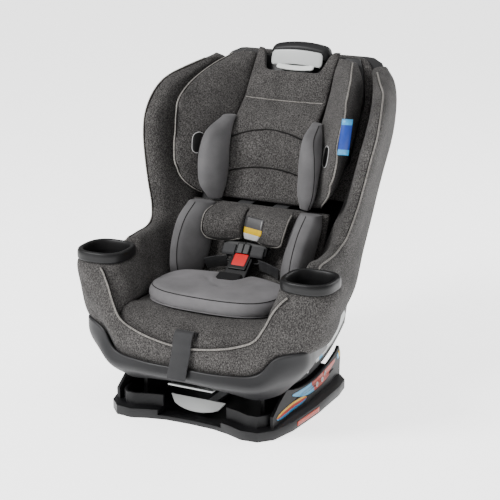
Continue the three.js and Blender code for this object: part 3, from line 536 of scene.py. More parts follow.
# %% Side covers
# Rows: front rim outside, outer bulge, rear edge, inner corner, inner middle, front rim inside.
wing_rows = [
    [[172, 283, 603], [182, 304, 605], [184, 322, 600], [166, 316, 596], [166, 290, 597]],
    [[209, 224, 586], [206, 290, 584], [189, 343, 568], [170, 306, 566], [192, 232, 579]],
    [[236, 167, 559], [224, 262, 553], [190, 349, 533], [170, 286, 531], [216, 172, 553]],
    [[244, 127, 510], [226, 240, 506], [190, 348, 493], [171, 266, 494], [222, 131, 509]],
    [[239, 110, 469], [222, 226, 464], [188, 338, 454], [168, 243, 454], [217, 115, 470]],
    [[232, 102, 429], [217, 208, 420], [185, 308, 402], [163, 213, 402], [210, 107, 430]],
    [[222, 95, 381], [211, 190, 372], [180, 289, 354], [156, 184, 356], [201, 101, 383]],
    [[209, 86, 334], [203, 176, 320], [176, 270, 304], [149, 140, 312], [190, 94, 338]],
    [[203, 68, 308], [202, 158, 285], [170, 244, 244], [143, 104, 262], [184, 76, 314]],
    [[201, 49, 301], [208, 120, 240], [162, 214, 172], [142, 66, 218], [182, 56, 305]],
    [[201, 8, 299], [226, 10, 232], [196, 34, 152], [142, 8, 208], [182, 8, 300]],
    [[200, -26, 297], [246, -30, 232], [224, -32, 166], [142, -32, 206], [180, -26, 297]],
]
# The arm: y, then x and z of the same six points.
arm_rows = [
    (-37, (240, 276), (250, 225), (224, 166), (142, 206), (160, 262), (172, 276)),
    (-86, (259, 276), (255, 225), (239, 172), (142, 206), (157, 262), (162, 276)),
    (-118, (252, 276), (249, 225), (228, 168), (143, 202), (160, 262), (166, 276)),
    (-132, (236, 272), (236, 225), (214, 162), (146, 192), (166, 250), (180, 272)),
    (-144, (208, 246), (212, 212), (196, 156), (147, 172), (158, 212), (178, 244)),
    (-154, (172, 196), (178, 190), (166, 150), (145, 146), (152, 176), (160, 190)),
]
def with_inner_middle(row):
    """Five measured points become six: the inner middle is halfway from the inner corner to the inner rim."""
    return np.array(row[:4] + [[(a + b) / 2 for a, b in zip(row[3], row[4])]] + row[4:], float)


side_rows = [with_inner_middle(row) for row in wing_rows]
side_rows += [np.array([[x, y, z] for x, z in points], float) for y, *points in arm_rows]
side_grid = domed(loft(side_rows, 190, 72), 3)
side_covers = both_sides("side_cover", side_grid, KNIT, "seat", "heather", ["wing_cover", "arm_cover"])
print("side cover:", side_grid.shape, side_grid.min((0, 1)), side_grid.max((0, 1)))

# %% [markdown]
# The cup holder sits in a well in the arm. A well is a cut, so it is made with a Boolean, and the hole is
# there when the cup is lifted out.


# %% Cup holders and their wells
def squircle(half, count, power=0.62):
    """Rounded square: x = half * sign(cos a) |cos a|^power, y the same with sin a."""
    a = np.arange(count) * 2 * np.pi / count
    return half * np.stack([np.sign(np.cos(a)) * np.abs(np.cos(a)) ** power,
                            np.sign(np.sin(a)) * np.abs(np.sin(a)) ** power], 1)


def stack(profile, centre, count=72, power=0.62):
    """Squircles of (half width, height) along a profile, as a grid."""
    return np.stack([np.column_stack([squircle(half, count, power) + centre, np.full(count, z)])
                     for half, z in profile])


cup_centre = np.array([210, -86.0])
cup_profile = through([[28, 211], [30.5, 211.5], [32, 215], [40.2, 276], [41, 277.3], [48, 277.6], [50.2, 279.5],
                       [50.5, 284], [50.4, 291], [48.8, 295.6], [46, 297], [42.5, 296.4], [40.6, 293.5], [37.6, 280],
                       [36.8, 272], [29, 218], [27, 215], [22, 214.2]], 80)
cup_grid = stack(cup_profile, cup_centre, power=0.74)
for side, turn in SIDES:
    cup = grid_object(f"cup_holder_{side}_moulding", cup_grid * turn, wrap=True)
    finish(cup, CUP_PLASTIC, f"cup_{side}", "black", [f"cup_holder_{side}"])

well_grid = stack([(1, 205), (32.5, 205), (33.5, 208), (42.3, 268), (44, 300), (1, 300)], cup_centre)
for cover, points in zip(side_covers, (well_grid, mirror(well_grid))):
    cutter = grid_object("well_cutter", points, wrap=True)
    cut = cover.modifiers.new("well", "BOOLEAN")
    cut.operation, cut.solver, cut.object = "DIFFERENCE", "EXACT", cutter
    bpy.context.view_layer.update()
    seen = cover.evaluated_get(bpy.context.evaluated_depsgraph_get())
    cover_mesh = bpy.data.meshes.new_from_object(seen)
    cover.modifiers.clear()
    cover.data = cover_mesh
    bpy.data.objects.remove(cutter)
print("cup holders and wells made")

# %% [markdown]
# A piped seam runs down the front rim of each side cover to the cup holder. The path is a smooth curve
# that is then settled on the cover, so that the cord neither floats nor sinks.

# %% Piping round the side covers
rim = np.array([[186, 266, 599], [209, 224, 586], [227, 194, 573], [236, 167, 559], [243, 142, 535],
                [244, 127, 510], [239, 110, 469], [232, 102, 429], [222, 95, 381], [209, 86, 334],
                [204, 77, 317], [201, 49, 303],
                [201, 8, 299], [201, -24, 297], [202, -36, 288]], float)
sewn_on_both(piping, "side_piping", through(rim, 150), side_grid, 0.6, "seat", 2.1)
print("side piping made")


# %% [markdown]
# ## Padded sheets
# The seat and back covers are sheets of foam-backed knit over a moulded shape. A padded sheet is a middle
# surface with a front and a back that meet in a round edge.


# %% Pads
def pad(middle, thickness, edge, relief=None, outward=None):
    """Front and back stand off the middle by half the thickness times sqrt(1 - (1 - d/edge)^2), where d is
    the distance to the nearest edge. relief, in millimetres, is added to the front."""
    rows, cols = middle.shape[:2]
    normal = slopes(middle)
    if outward is not None and (normal.reshape(-1, 3).mean(0) @ np.asarray(outward, float)) < 0:
        normal = -normal
    down = np.concatenate([np.zeros((1, cols)), np.cumsum(np.linalg.norm(np.diff(middle, axis=0), axis=2), 0)])
    across = np.concatenate([np.zeros((rows, 1)), np.cumsum(np.linalg.norm(np.diff(middle, axis=1), axis=2), 1)], 1)
    distance = np.minimum(np.minimum(down, down[-1:] - down), np.minimum(across, across[:, -1:] - across))
    roll = np.sqrt(1 - (1 - np.clip(distance / edge, 0, 1)) ** 2)[:, :, None]
    lift = 0 if relief is None else relief[:, :, None] * roll
    front = middle + normal * (thickness / 2 * roll + lift)
    back = middle - normal * (thickness / 2 * roll)
    return front, back


def pad_object(name, front, back):
    """One closed mesh from two grids that share their edges."""
    rows, cols = front.shape[:2]
    index = np.arange(rows * cols).reshape(rows, cols)
    quads = np.stack([index[:-1, :-1], index[:-1, 1:], index[1:, 1:], index[1:, :-1]], -1).reshape(-1, 4)
    # The back uses its own inner points and the front's edge points.
    twin = index + rows * cols
    twin[0], twin[-1], twin[:, 0], twin[:, -1] = index[0], index[-1], index[:, 0], index[:, -1]
    other = np.stack([twin[:-1, :-1], twin[1:, :-1], twin[1:, 1:], twin[:-1, 1:]], -1).reshape(-1, 4)
    points = np.vstack([front.reshape(-1, 3), back.reshape(-1, 3)])
    used = np.unique(np.concatenate([quads, other]))
    renumber = np.zeros(len(points), int)
    renumber[used] = np.arange(len(used))
    return to_object(name, points[used], renumber[np.concatenate([quads, other])].tolist())


def spread(low, high, count):
    """Numbers from low to high, closer together near both ends: 1 - cos spacing, blended with even spacing."""
    even = np.linspace(0, 1, count)
    return low + (high - low) * (0.45 * even + 0.55 * (1 - np.cos(np.pi * even)) / 2)


# %% [markdown]
# The seat cover is one panel from the front edge, over the cushion, and up behind the child's back. Its
# middle surface is a side-on line carried across, with the front edge rounded in plan.

# %% Seat cover
seat_line = np.array([(-177, 122), (-172, 152), (-158, 180), (-130, 197), (-100, 203), (0, 200),
                      (42, 203), (64, 218), (92, 252), (113, 292), (136, 348)], float)
line = through(seat_line, 110)
x = spread(-146, 146, 90)
# The front edge is rounded in plan, and rises to meet the arms at its corners.
corner = 9 * np.clip((np.abs(x) - 30) / 109, 0, 1) ** 2.2
rise = 13 * np.clip(np.abs(x) / 139, 0, 1.1) ** 2.6
nearness = np.clip((-95 - line[:, 0]) / 55, 0, 1) ** 0.8
seat_middle = np.stack([np.broadcast_to(x, (110, 90)), line[:, :1] + nearness[:, None] * corner,
                        line[:, 1:] + nearness[:, None] * rise], 2)
seat_middle = seat_middle - slopes(seat_middle) * np.sign(slopes(seat_middle)[50, 45, 2]) * 6
front, back = pad(seat_middle, 12, 9, outward=(0, -0.5, 1))
cover = finish(pad_object("seat_pad_cover", front, back), KNIT, "seat", "heather", ["seat_cover"])
print("seat cover:", front.min((0, 1)), front.max((0, 1)))

# %% [markdown]
# The front apron is one panel from arm to arm. Its top edge carries the light piping that runs from one cup
# holder down to the seat's front and up to the other, and its bottom edge tucks in behind the leg rest.

# %% Front apron
# Stations from the outer side to the middle: outer surface at the top, middle and bottom.
apron_stations = [
    [[247, -98, 272], [244, -102, 225], [216, -104, 166]],
    [[238, -126, 273], [240, -130, 228], [213, -124, 162]],
    [[196, -136, 273], [207, -148, 216], [194, -142, 154]],
    [[172, -149, 250], [181, -158, 196], [168, -150, 140]],
    [[155, -157, 216], [157, -166, 172], [146, -162, 122]],
    [[138, -163, 190], [136, -171, 154], [128, -169, 114]],
    [[103, -169, 174], [102, -175, 146], [96, -176, 110]],
    [[50, -173, 162], [50, -178, 138], [50, -179, 108]],
    [[0, -172, 157], [0, -177, 137], [0, -179, 107]],
]
half_apron = np.array(apron_stations, float)
full_apron = np.concatenate([half_apron, half_apron[-2::-1] * np.array([-1.0, 1, 1])])
apron = through(full_apron, 190)
apron = through(apron.transpose(1, 0, 2), 34)
facing = slopes(apron)
facing = facing * np.sign(-facing[17, 95, 1])
front, back = pad(apron - facing * 4, 8, 6, outward=(0, -1, 0.2))
finish(pad_object("front_apron", front, back), KNIT, "seat", "heather")
edge_rows = slice(24, 166)
piping("front_piping", apron[0, edge_rows] + np.array([0, -0.5, 0.5]), facing[0, edge_rows], "seat", 2.2)
print("apron:", front.min((0, 1)), front.max((0, 1)))

# %% [markdown]
# The back cover is seen only when the headrest is raised: a plain padded sheet with its top corners cut.

# %% Back cover
u = spread(-166, 166, 60)
top_edge = 1 - 0.2 * np.clip((np.abs(u) - 110) / 56, 0, 1) ** 3
v = spread(0, 1, 60)[:, None] * top_edge[None]
back_middle = np.stack([np.broadcast_to(u, (60, 60)), 195 + 144 * v, 358 + 256 * v], 2)
front, back = pad(back_middle, 9, 8, outward=(0, -1, 0.5))
finish(pad_object("back_pad_cover", front, back), KNIT, "seat", "heather", ["back_cover"])
print("back cover:", front.min((0, 1)), front.max((0, 1)))


# %% [markdown]
# ## Foam
# Foam blocks are hidden under the covers. The frame has their shape, so a copy is softened: its flat
# facets are remeshed to 5 mm and smoothed, as moulded foam has no sharp corner.


# %% Softened copies of frame nodes
FOAM_VOXEL = 0.005


def softened(node, body):
    """A bead foam copy of a node, remeshed evenly and smoothed."""
    mesh = nodes[node].data.copy()
    work = bmesh.new()
    work.from_mesh(mesh)
    bmesh.ops.remove_doubles(work, verts=work.verts, dist=1e-5)
    work.to_mesh(mesh)
    work.free()
    mesh.materials.clear()
    piece = bpy.data.objects.new(f"{node}_block", mesh)
    bpy.context.scene.collection.objects.link(piece)
    even = piece.modifiers.new("even", "REMESH")
    even.mode, even.voxel_size, even.use_smooth_shade = "VOXEL", FOAM_VOXEL, True
    soft = piece.modifiers.new("soft", "SMOOTH")
    soft.factor, soft.iterations = 0.6, 6
    bpy.context.view_layer.update()
    shape = bpy.data.meshes.new_from_object(piece.evaluated_get(bpy.context.evaluated_depsgraph_get()))
    piece.modifiers.clear()
    piece.data = shape
    return finish(piece, FOAM, body, "heather", [node])


softened("seat_foam", "seat")
softened("headrest_foam", "headrest")
print("foam blocks made")

# %% [markdown]
# ## Torso pads, shoulder covers and cushion
# These are the smooth grey pieces of the infant insert. Each is a loft through a few slices, closed at
# both ends with a dome.

# %% Torso pads
torso_rows = [
    [[86, 56, 222], [90, 42, 220], [116, 24, 217], [136, 26, 217], [136, 56, 222]],
    [[82, 78, 252], [88, 48, 248], [118, 18, 246], [136, 22, 246], [136, 80, 254]],
    [[82, 98, 288], [90, 64, 286], [120, 26, 286], [137, 32, 286], [137, 100, 290]],
    [[86, 118, 322], [94, 90, 326], [120, 56, 326], [138, 62, 326], [138, 120, 322]],
    [[92, 130, 344], [98, 112, 346], [118, 94, 350], [134, 98, 350], [134, 132, 344]],
]
torso_grid = domed(loft(torso_rows, 60, 48), 4)
both_sides("torso_cushion", torso_grid, TRICOT, "seat", "smooth", ["torso_pad"])
# The seam round each torso pad is a thin dark tube: painted shade in the seam's crease.
torso_ring = through([row[2] for row in torso_rows], 60)
sewn_on_both(seam_shade_line, "torso_seam", torso_ring, torso_grid, 0.3, "seat")
print("torso pads made")


# %% Rounded polygons
def rounded(corners, radius, arc=5):
    """A closed polygon with its corners rounded: each corner is a quadratic curve that starts and ends at
    radius, or at 45% of the side if that is less, from the corner."""
    c = np.asarray(corners, float)
    before, after = np.roll(c, 1, 0) - c, np.roll(c, -1, 0) - c
    reach_a = np.minimum(radius, 0.45 * np.linalg.norm(before, axis=1))[:, None]
    reach_b = np.minimum(radius, 0.45 * np.linalg.norm(after, axis=1))[:, None]
    a = c + before / np.maximum(np.linalg.norm(before, axis=1)[:, None], 1e-9) * reach_a
    b = c + after / np.maximum(np.linalg.norm(after, axis=1)[:, None], 1e-9) * reach_b
    t = np.linspace(0, 1, arc)[None, :, None]
    curve = (1 - t) ** 2 * a[:, None] + 2 * t * (1 - t) * c[:, None] + t**2 * b[:, None]
    return curve.reshape(-1, 3)


# %% [markdown]
# Padded covers wrap the harness where it lies on the child's shoulders. Each is a loft through rounded
# slices, and its lower edge is piped.

# %% Shoulder covers
shoulder_rows = [
    [[14, 86, 290], [80, 62, 292], [82, 71, 296], [14, 94, 292]],
    [[14, 84, 306], [86, 58, 310], [87, 70, 314], [14, 98, 306]],
    [[14, 96, 334], [88, 76, 336], [88, 90, 338], [14, 110, 334]],
    [[16, 116, 344], [82, 106, 346], [82, 118, 347], [16, 124, 345]],
]
shoulder_grid = domed(through(np.stack([rounded(row, 6, 7) for row in shoulder_rows]), 40), 3)
# The left cover lies under the right one's edge, so it reaches across the middle.
reaching = np.array(shoulder_rows, float)
reaching[:, [0, 3], 0] = -12
reaching[:, [0, 3], 1] += 5
left_grid = domed(through(np.stack([rounded(row, 6, 7) for row in reaching]), 40), 3)
for side, points in (("left", left_grid), ("right", mirror(shoulder_grid))):
    piece = grid_object(f"shoulder_pad_{side}", points, wrap=True)
    finish(piece, KNIT, "seat", "heather", [f"shoulder_cover_{side}"])
shoulder_edge = np.array([[16, 84.5, 292], [60, 68, 292], [78, 62.5, 294], [85.5, 59, 304], [86.5, 59.5, 311],
                          [88, 76, 335], [84, 104, 345]], float)
sewn_on_both(piping, "shoulder_piping", through(shoulder_edge, 60), shoulder_grid, 0.3, "seat", 1.8)
print("shoulder covers made")

# %% [markdown]
# The infant insert's cushion is a soft block with a seam round its top edge. A profile of (size, height)
# carries a rounded rectangle from the bottom, up the side and over the crown, so it stays one closed form.

# %% Insert cushion
# Rings of a rounded rectangle from the bottom up, then over the crowned top to its middle.
ring_count = 160
angle = np.arange(ring_count) * 2 * np.pi / ring_count
outline = np.stack([134 * np.sign(np.cos(angle)) * np.abs(np.cos(angle)) ** 0.72,
                    80 * np.sign(np.sin(angle)) * np.abs(np.sin(angle)) ** 0.72], 1)
cushion_profile = through([[0.02, 205.3], [0.6, 205.3], [0.9, 205.6], [0.965, 208], [0.995, 213], [1.0, 219],
                           [0.99, 225], [0.968, 230], [0.94, 233.6], [0.86, 237], [0.7, 239], [0.5, 239.8],
                           [0.25, 240], [0.02, 240.2]], 110)
size, height = cushion_profile[:, 0], cushion_profile[:, 1]
cx = size[:, None] * outline[None, :, 0]
cy = size[:, None] * outline[None, :, 1] - 34
# Gentle dimples where the wadding is quilted down, and a shallow hollow in the middle.
top = np.clip((height - 229) / 8, 0, 1)[:, None]
cz = height[:, None] + top * (1.3 * np.sin(cx / 21 + 0.8) * np.sin(cy / 17)
                              - 2.0 * np.exp(-(cx**2 + (cy + 40)**2) / 1500)
                              - 4.5 * np.exp(-((cx + 32)**2 + (cy + 14)**2) / 90)
                              - 4.5 * np.exp(-((cx - 4)**2 + (cy + 34)**2) / 90))
# The rear edge leaves room for the buckle: points near x = 0 are pulled forward by up to 50 mm.
notch = np.exp(-(np.abs(cx) / 29) ** 6)
rear = np.clip((cy + 60) / 106, 0, 1) ** 1.5
cy = cy - 52 * notch * rear
cushion_grid = np.stack([cx, cy, cz], 2)
cushion = grid_object("insert_cushion_pad", cushion_grid, wrap=True)
finish(cushion, TRICOT_LIGHT, "seat", "smooth", ["insert_cushion"])
# The seam round the top edge is a thin dark tube: painted shade along the seam.
seam = cushion_grid[np.abs(height - 232.5).argmin()]
seam = np.vstack([seam, seam[:1]])
seam_shade_tube = tube_grid(seam, 0.9, np.array([0, 0, 1.0]), 8)[:-1]
seam_shade_piece = grid_object("insert_cushion_seam", seam_shade_tube, wrap=True, loop=True)
finish(seam_shade_piece, SEAM_SHADE, "seat", "smooth")
print("cushion:", cushion_grid.min((0, 1)), cushion_grid.max((0, 1)))

# %% [markdown]
# ## Webbing
# The harness is webbing 26 to 38 mm wide and 1.6 mm thick. A strap is a flat rounded section carried along its
# route. Its UV is in metres, so that the weave keeps its scale and runs with the strap.


# %% Straps
STRAP_STEPS = 90


def strap(name, route, width, body, replaces=(), thick=1.6, across=(1, 0, 0), turn=SIDES[0][1]):
    """Flat section at each point of the route: half the width across, half the thickness along the normal,
    with round edges. UV is (distance across, distance along)."""
    path = through(np.asarray(route, float), STRAP_STEPS)
    tangent = np.gradient(path, axis=0)
    tangent /= np.linalg.norm(tangent, axis=1, keepdims=True)
    side = np.broadcast_to(np.asarray(across, float), path.shape)
    side = side - (side * tangent).sum(1, keepdims=True) * tangent
    side /= np.linalg.norm(side, axis=1, keepdims=True)
    normal = np.cross(side, tangent)
    half, deep = width / 2, thick / 2
    section = np.array([(-half, 0), (-half + deep * 0.3, deep * 0.8), (-half + deep, deep), (-half / 2, deep),
                        (0, deep), (half / 2, deep), (half - deep, deep), (half - deep * 0.3, deep * 0.8), (half, 0),
                        (half - deep * 0.3, -deep * 0.8), (half - deep, -deep), (0, -deep), (-half + deep, -deep),
                        (-half + deep * 0.3, -deep * 0.8)])
    grid = (path[:, None] + section[None, :, :1] * side[:, None] + section[None, :, 1:] * normal[:, None])
    grid = grid * turn
    distance = np.concatenate([[0], np.cumsum(np.linalg.norm(np.diff(path, axis=0), axis=1))]) / 1000
    uv = np.stack([np.broadcast_to(section[:, 0] / 1000, grid.shape[:2]),
                   np.broadcast_to(distance[:, None], grid.shape[:2])], 2).reshape(-1, 2)
    uv = np.vstack([uv, uv[:1], uv[-1:]])
    finish(grid_object(name, grid, wrap=True, uv=uv), WEBBING, body, "webbing", replaces)


harness = [(24, 72, 262), (34, 83, 275), (38, 91, 286), (42, 102, 302), (40, 118, 328), (38, 131, 341),
           (38, 152, 344), (38, 182, 344.5)]
lap = [(34, 66, 250), (56, 62, 247), (78, 60, 240)]
for side, turn in SIDES:
    strap(f"harness_webbing_{side}", harness, 30, "seat", [f"harness_strap_{side}"], turn=turn)
    strap(f"lap_webbing_{side}", lap, 26, "seat", [f"lap_strap_{side}"], across=(0, -0.4, 1), turn=turn)
strap("crotch_webbing", [(0, 13, 203.5), (0, 13.5, 206), (0, 14, 209)], 38, "seat", ["crotch_strap"], 2.0)
strap("adjuster_webbing", [(0, -156, 182), (0, -162, 186.5), (0, -170, 183), (0, -177, 168), (0, -181, 150),
                           (0, -189, 134), (0, -196, 120), (0, -201, 106)], 38, "seat", ["adjuster_strap"])
print("webbing made")

# %% [markdown]
# ## Buckle and chest clip
# Black moulded plastic with a red button. The buckle's crotch strap rises through a padded boot.


# %% Extruded and rounded mouldings
def moulding(name, profile, half, radius, material, body, slot, replaces=(), edge=3.0):
    """A profile in y and z carried along x, from -half to half, with rounded edges: near each end the profile
    shrinks towards its middle as sqrt(1 - (1 - d/edge)^2) of its last few millimetres."""
    corners = rounded([(0, y, z) for y, z in profile], radius, 6)
    middle = corners.mean(0)
    reach = np.linalg.norm(corners - middle, axis=1).mean()
    ease = np.linspace(0, edge, 7)
    t = np.concatenate([ease, [half], 2 * half - ease[::-1]])
    d = np.minimum(t, 2 * half - t)
    shrink = 1 - edge / reach * (1 - np.sqrt(1 - (1 - np.clip(d / edge, 0, 1)) ** 2))
    grid = middle + (corners - middle)[None] * shrink[:, None, None]
    grid[:, :, 0] = (t - half)[:, None]
    finish(grid_object(name, grid, wrap=True), material, body, slot, replaces)


moulding("buckle_body", [(2, 216), (10, 208), (70, 250), (62, 264)], 23, 4, POLYPROPYLENE, "seat", "black",
         ["buckle_housing"], edge=4)
moulding("buckle_bezel", [(35, 247.5), (39.5, 241.5), (69.5, 262.5), (65.2, 268.3)], 18.5, 2,
         CUP_PLASTIC, "seat", "black", edge=1.5)
moulding("release_button", [(38, 249), (41.5, 244.5), (66, 262.5), (62.5, 269.6)], 14, 2,
         RED_ABS, "buckle_release", "red", ["buckle_button"], edge=2)


# %% [markdown]
# The chest clip is two halves that part sideways. Each half carries a raised block beside the joint, and
# a short length of webbing lies over its outer part.

# %% Chest clip
clip_rows = [[(0.4, 71, 263), (0.4, 64, 268), (0.4, 80, 289), (0.4, 87.5, 284)],
             [(24, 70, 263.5), (24, 63.2, 268), (24, 79, 288.5), (24, 86.5, 283.5)],
             [(44, 71, 263.5), (44, 64.8, 267.4), (44, 79, 286.6), (44, 86, 282.4)],
             [(47, 73, 266), (47, 67.5, 269), (47, 77.5, 283.5), (47, 83, 280.5)]]
clip_grid = through(np.stack([rounded(row, 3.5, 6) for row in clip_rows]), 30)
for side, turn in SIDES:
    half_clip = grid_object(f"chest_clip_half_{side}", clip_grid * turn, wrap=True)
    finish(half_clip, POLYPROPYLENE, f"chest_clip_{side}", "black", [f"chest_clip_{side}"])
# The raised blocks, a little smaller at both ends, and the webbing over each half.
block_profile = ((62.5, 271.5), (60.5, 270.5), (72.5, 286.5), (74.5, 287.5))
block = np.stack([rounded([(x, *yz) for yz in block_profile], 2.5, 6) for x in (0.5, 2, 11, 13.5)])
block_ends = block[[0, -1]]
end_middles = block_ends.mean(1, keepdims=True)
block[[0, -1]] = end_middles + (block_ends - end_middles) * 0.9
for side, turn in SIDES:
    body = f"chest_clip_{side}"
    finish(grid_object(f"chest_clip_boss_{side}", block * turn, wrap=True), POLYPROPYLENE, body, "black")
    band_path = np.array([[30, 61.5, 265.5], [30, 62.6, 269.5], [30, 68.6, 278], [30, 72.5, 283.4]])
    strap(f"clip_webbing_{side}", band_path, 26, body, turn=turn)
print("chest clip made")

# %% [markdown]
# A padded boot rises round the crotch strap to the buckle. It is a rounded rectangle that tapers along
# the buckle's own axis.

# %% Buckle boot
boot_axis, boot_up = np.array([0, 0.82, 0.57]), np.array([0, -0.57, 0.82])
boot_rows = []
for reach, half, deep in ((-8, 25, 9), (-3, 28, 12), (4, 27, 13), (18, 24.5, 12.5), (26, 23.8, 11), (27, 22, 9)):
    middle = np.array([0, -2, 222.0]) + boot_axis * reach
    corners = [middle + np.array([a * half, 0, 0]) + boot_up * b * deep
               for a, b in ((-1, -1), (1, -1), (1, 1), (-1, 1))]
    boot_rows.append(rounded(corners, 5, 6))
boot = grid_object("buckle_boot", through(np.stack(boot_rows), 24), wrap=True)
finish(boot, BOOT_CLOTH, "seat", "black")
print("buckle boot made")

# %% [markdown]
# Each buckle tongue has a moulded loop that the harness webbing runs through: a thin tube round a
# superellipse, x = 17 |cos a|^0.6 and s = 9 |sin a|^0.6 with their signs.

# %% Tongue loops
loop_angle = np.arange(49) * 2 * np.pi / 48
loop_x = 19 + 17 * np.sign(np.cos(loop_angle)) * np.abs(np.cos(loop_angle)) ** 0.6
loop_s = 9 * np.sign(np.sin(loop_angle)) * np.abs(np.sin(loop_angle)) ** 0.6
loop_path = np.stack([loop_x, 66 + 0.55 * loop_s + 0.12 * loop_x, 262 + 0.83 * loop_s - 0.1 * loop_x], 1)
for side, turn in SIDES:
    ring = tube_grid(loop_path * turn, 2.6, np.array([0, -0.83, 0.55]))[:-1]
    finish(grid_object(f"tongue_loop_{side}", ring, wrap=True, loop=True), POLYPROPYLENE, "seat", "black")
print("tongue loops made")

# %% [markdown]
# ## Headrest
# A moulded shell that slides on the back. Its wings, centre panel and head pads are padded covers, and
# the wings' rims are piped.

# %% Headrest wings
head_wing_rows = [
    [[125, 152, 352], [112, 166, 352], [90, 168, 351], [90, 152, 351]],
    [[145, 117, 370], [130, 176, 368], [90, 180, 368], [90, 162, 368]],
    [[161, 100, 393], [142, 188, 388], [90, 192, 390], [90, 174, 392]],
    [[169, 94, 420], [148, 203, 412], [90, 206, 412], [90, 180, 420]],
    [[174, 100, 455], [154, 226, 448], [90, 226, 447], [90, 192, 455]],
    [[177, 106, 485], [157, 244, 480], [90, 244, 478], [90, 205, 487]],
    [[179, 117, 522], [158, 263, 512], [90, 262, 510], [90, 232, 520]],
    [[173, 145, 560], [156, 283, 545], [90, 286, 550], [90, 258, 556]],
    [[156, 207, 592], [148, 300, 575], [90, 307, 588], [90, 277, 593]],
    [[131, 279, 614], [130, 314, 604], [90, 318, 606], [90, 300, 616]],
]
head_wing_grid = domed(through(np.stack([rounded(row, 24, 12) for row in head_wing_rows]), 130), 2)
both_sides("head_wing_cover", head_wing_grid, KNIT, "headrest", "heather", ["headrest_wing"])
head_rim = np.array([[131, 279, 615], [145, 241, 606], [156, 207, 592], [166, 171, 576], [173, 145, 560],
                     [177, 128, 543], [179, 117, 522], [177, 106, 485], [175, 103, 468], [169, 94, 420],
                     [165, 97, 405], [152, 108, 378], [137, 126, 361], [125, 152, 352]], float)
sewn_on_both(piping, "head_wing_piping", through(head_rim, 150), head_wing_grid, 0.4, "headrest", 2.0)
print("headrest wings:", head_wing_grid.min((0, 1)), head_wing_grid.max((0, 1)))

# %% [markdown]
# The panel behind the child's head is a padded sheet that leans back towards the top. Three seams cross
# it: two arched ones press grooves into the padding, each with a dark tube of painted shade along it, and a straight
# one higher up is piped.

# %% Headrest panel
panel_line = through(np.array([(152, 352), (165, 380), (174, 413), (178, 450), (191, 485), (214, 508),
                               (242, 534), (277, 580), (312, 625)], float), 400)
length = np.concatenate([[0], np.cumsum(np.linalg.norm(np.diff(panel_line, axis=0), axis=1))])
u = spread(-88, 88, 70)
# The top edge dips by 45 mm of cloth between x = -64 and 64, to leave the handle free.
dip = 1 / (1 + np.exp((np.abs(u) - 66) / 3.2))
reach = length[-1] - 50 * dip
v = spread(0, 1, 90)
s = v[:, None] * reach[None]
panel_middle = np.stack([np.broadcast_to(u, s.shape), np.interp(s, length, panel_line[:, 0]),
                         np.interp(s, length, panel_line[:, 1])], 2)
panel_middle += np.array([0, 5.0, -2.5])
# Each seam is a height in the middle and a drop at the sides: z = height - drop * (x / 88)^2.
seams = ((413, 16), (485, 22), (534, 0))
groove = np.zeros(s.shape)
xx, zz = panel_middle[:, :, 0], panel_middle[:, :, 2]
for seam_height, drop in seams:
    groove += np.exp(-(np.abs(zz - (seam_height - drop * (xx / 88) ** 2)) / 6) ** 1.1)
crown = 4 * np.cos(np.pi * xx / 190) * np.clip((zz - 352) / 60, 0, 1)
front, back = pad(panel_middle, 10, 8, relief=crown - 3.2 * np.clip(groove, 0, 1), outward=(0, -1, 0.3))
across = np.linspace(-84, 84, 60)
flat = np.broadcast_to(np.array([0, -0.9, 0.4]), (60, 3))
for number, (seam_height, drop) in enumerate(seams):
    path = np.column_stack([across, np.zeros(60), seam_height - drop * (across / 88) ** 2])
    column = np.abs(front[45, :, 0][None] - across[:, None]).argmin(1)
    row = np.array([np.abs(front[:, c, 2] - z).argmin() for c, z in zip(column, path[:, 2])])
    path[:, 1] = front[row, column, 1] - 0.2
    for _ in range(4):
        path[1:-1] = (path[:-2] + 2 * path[1:-1] + path[2:]) / 4
    if drop == 0:
        piping("head_panel_piping", path, flat, "headrest", 1.3)
    else:
        seam_shade_line(f"head_panel_seam_{number}", path, flat, "headrest", 1.7, "heather")
finish(pad_object("head_panel_cover", front, back), KNIT, "headrest", "heather", ["headrest_panel"])
print("headrest panel:", front.min((0, 1)), front.max((0, 1)))

# %% [markdown]
# Two smooth pads stand beside the child's head. They are lofts like the torso pads, with one seam each, drawn as a
# thin dark tube of painted shade.

# %% Head pads
head_pad_rows = [
    [[84, 142, 353], [88, 132, 354], [100, 126, 354], [108, 126, 354], [110, 134, 354]],
    [[82, 156, 380], [84, 128, 380], [106, 112, 380], [120, 116, 380], [122, 126, 380]],
    [[82, 166, 413], [84, 130, 413], [106, 110, 413], [124, 116, 413], [126, 132, 413]],
    [[82, 170, 450], [84, 135, 450], [104, 115, 450], [122, 120, 450], [126, 144, 450]],
    [[82, 183, 485], [84, 152, 485], [100, 130, 485], [114, 134, 485], [118, 166, 485]],
    [[83, 202, 505], [85, 190, 505], [94, 178, 505], [104, 180, 505], [104, 196, 505]],
]
head_pad_grid = domed(loft(head_pad_rows, 90, 48), 4)
both_sides("head_cushion", head_pad_grid, TRICOT, "headrest", "smooth", ["head_pad"])
head_ring = through([row[3] for row in head_pad_rows], 60)
sewn_on_both(seam_shade_line, "head_cushion_seam", head_ring, head_pad_grid, 0.2, "headrest")
print("head pads made")

# %% [markdown]
# The top of the headrest shell rises in a hump that holds the squeeze handle. Both follow one arch, so a
# profile is carried along x and drops with the square of x.


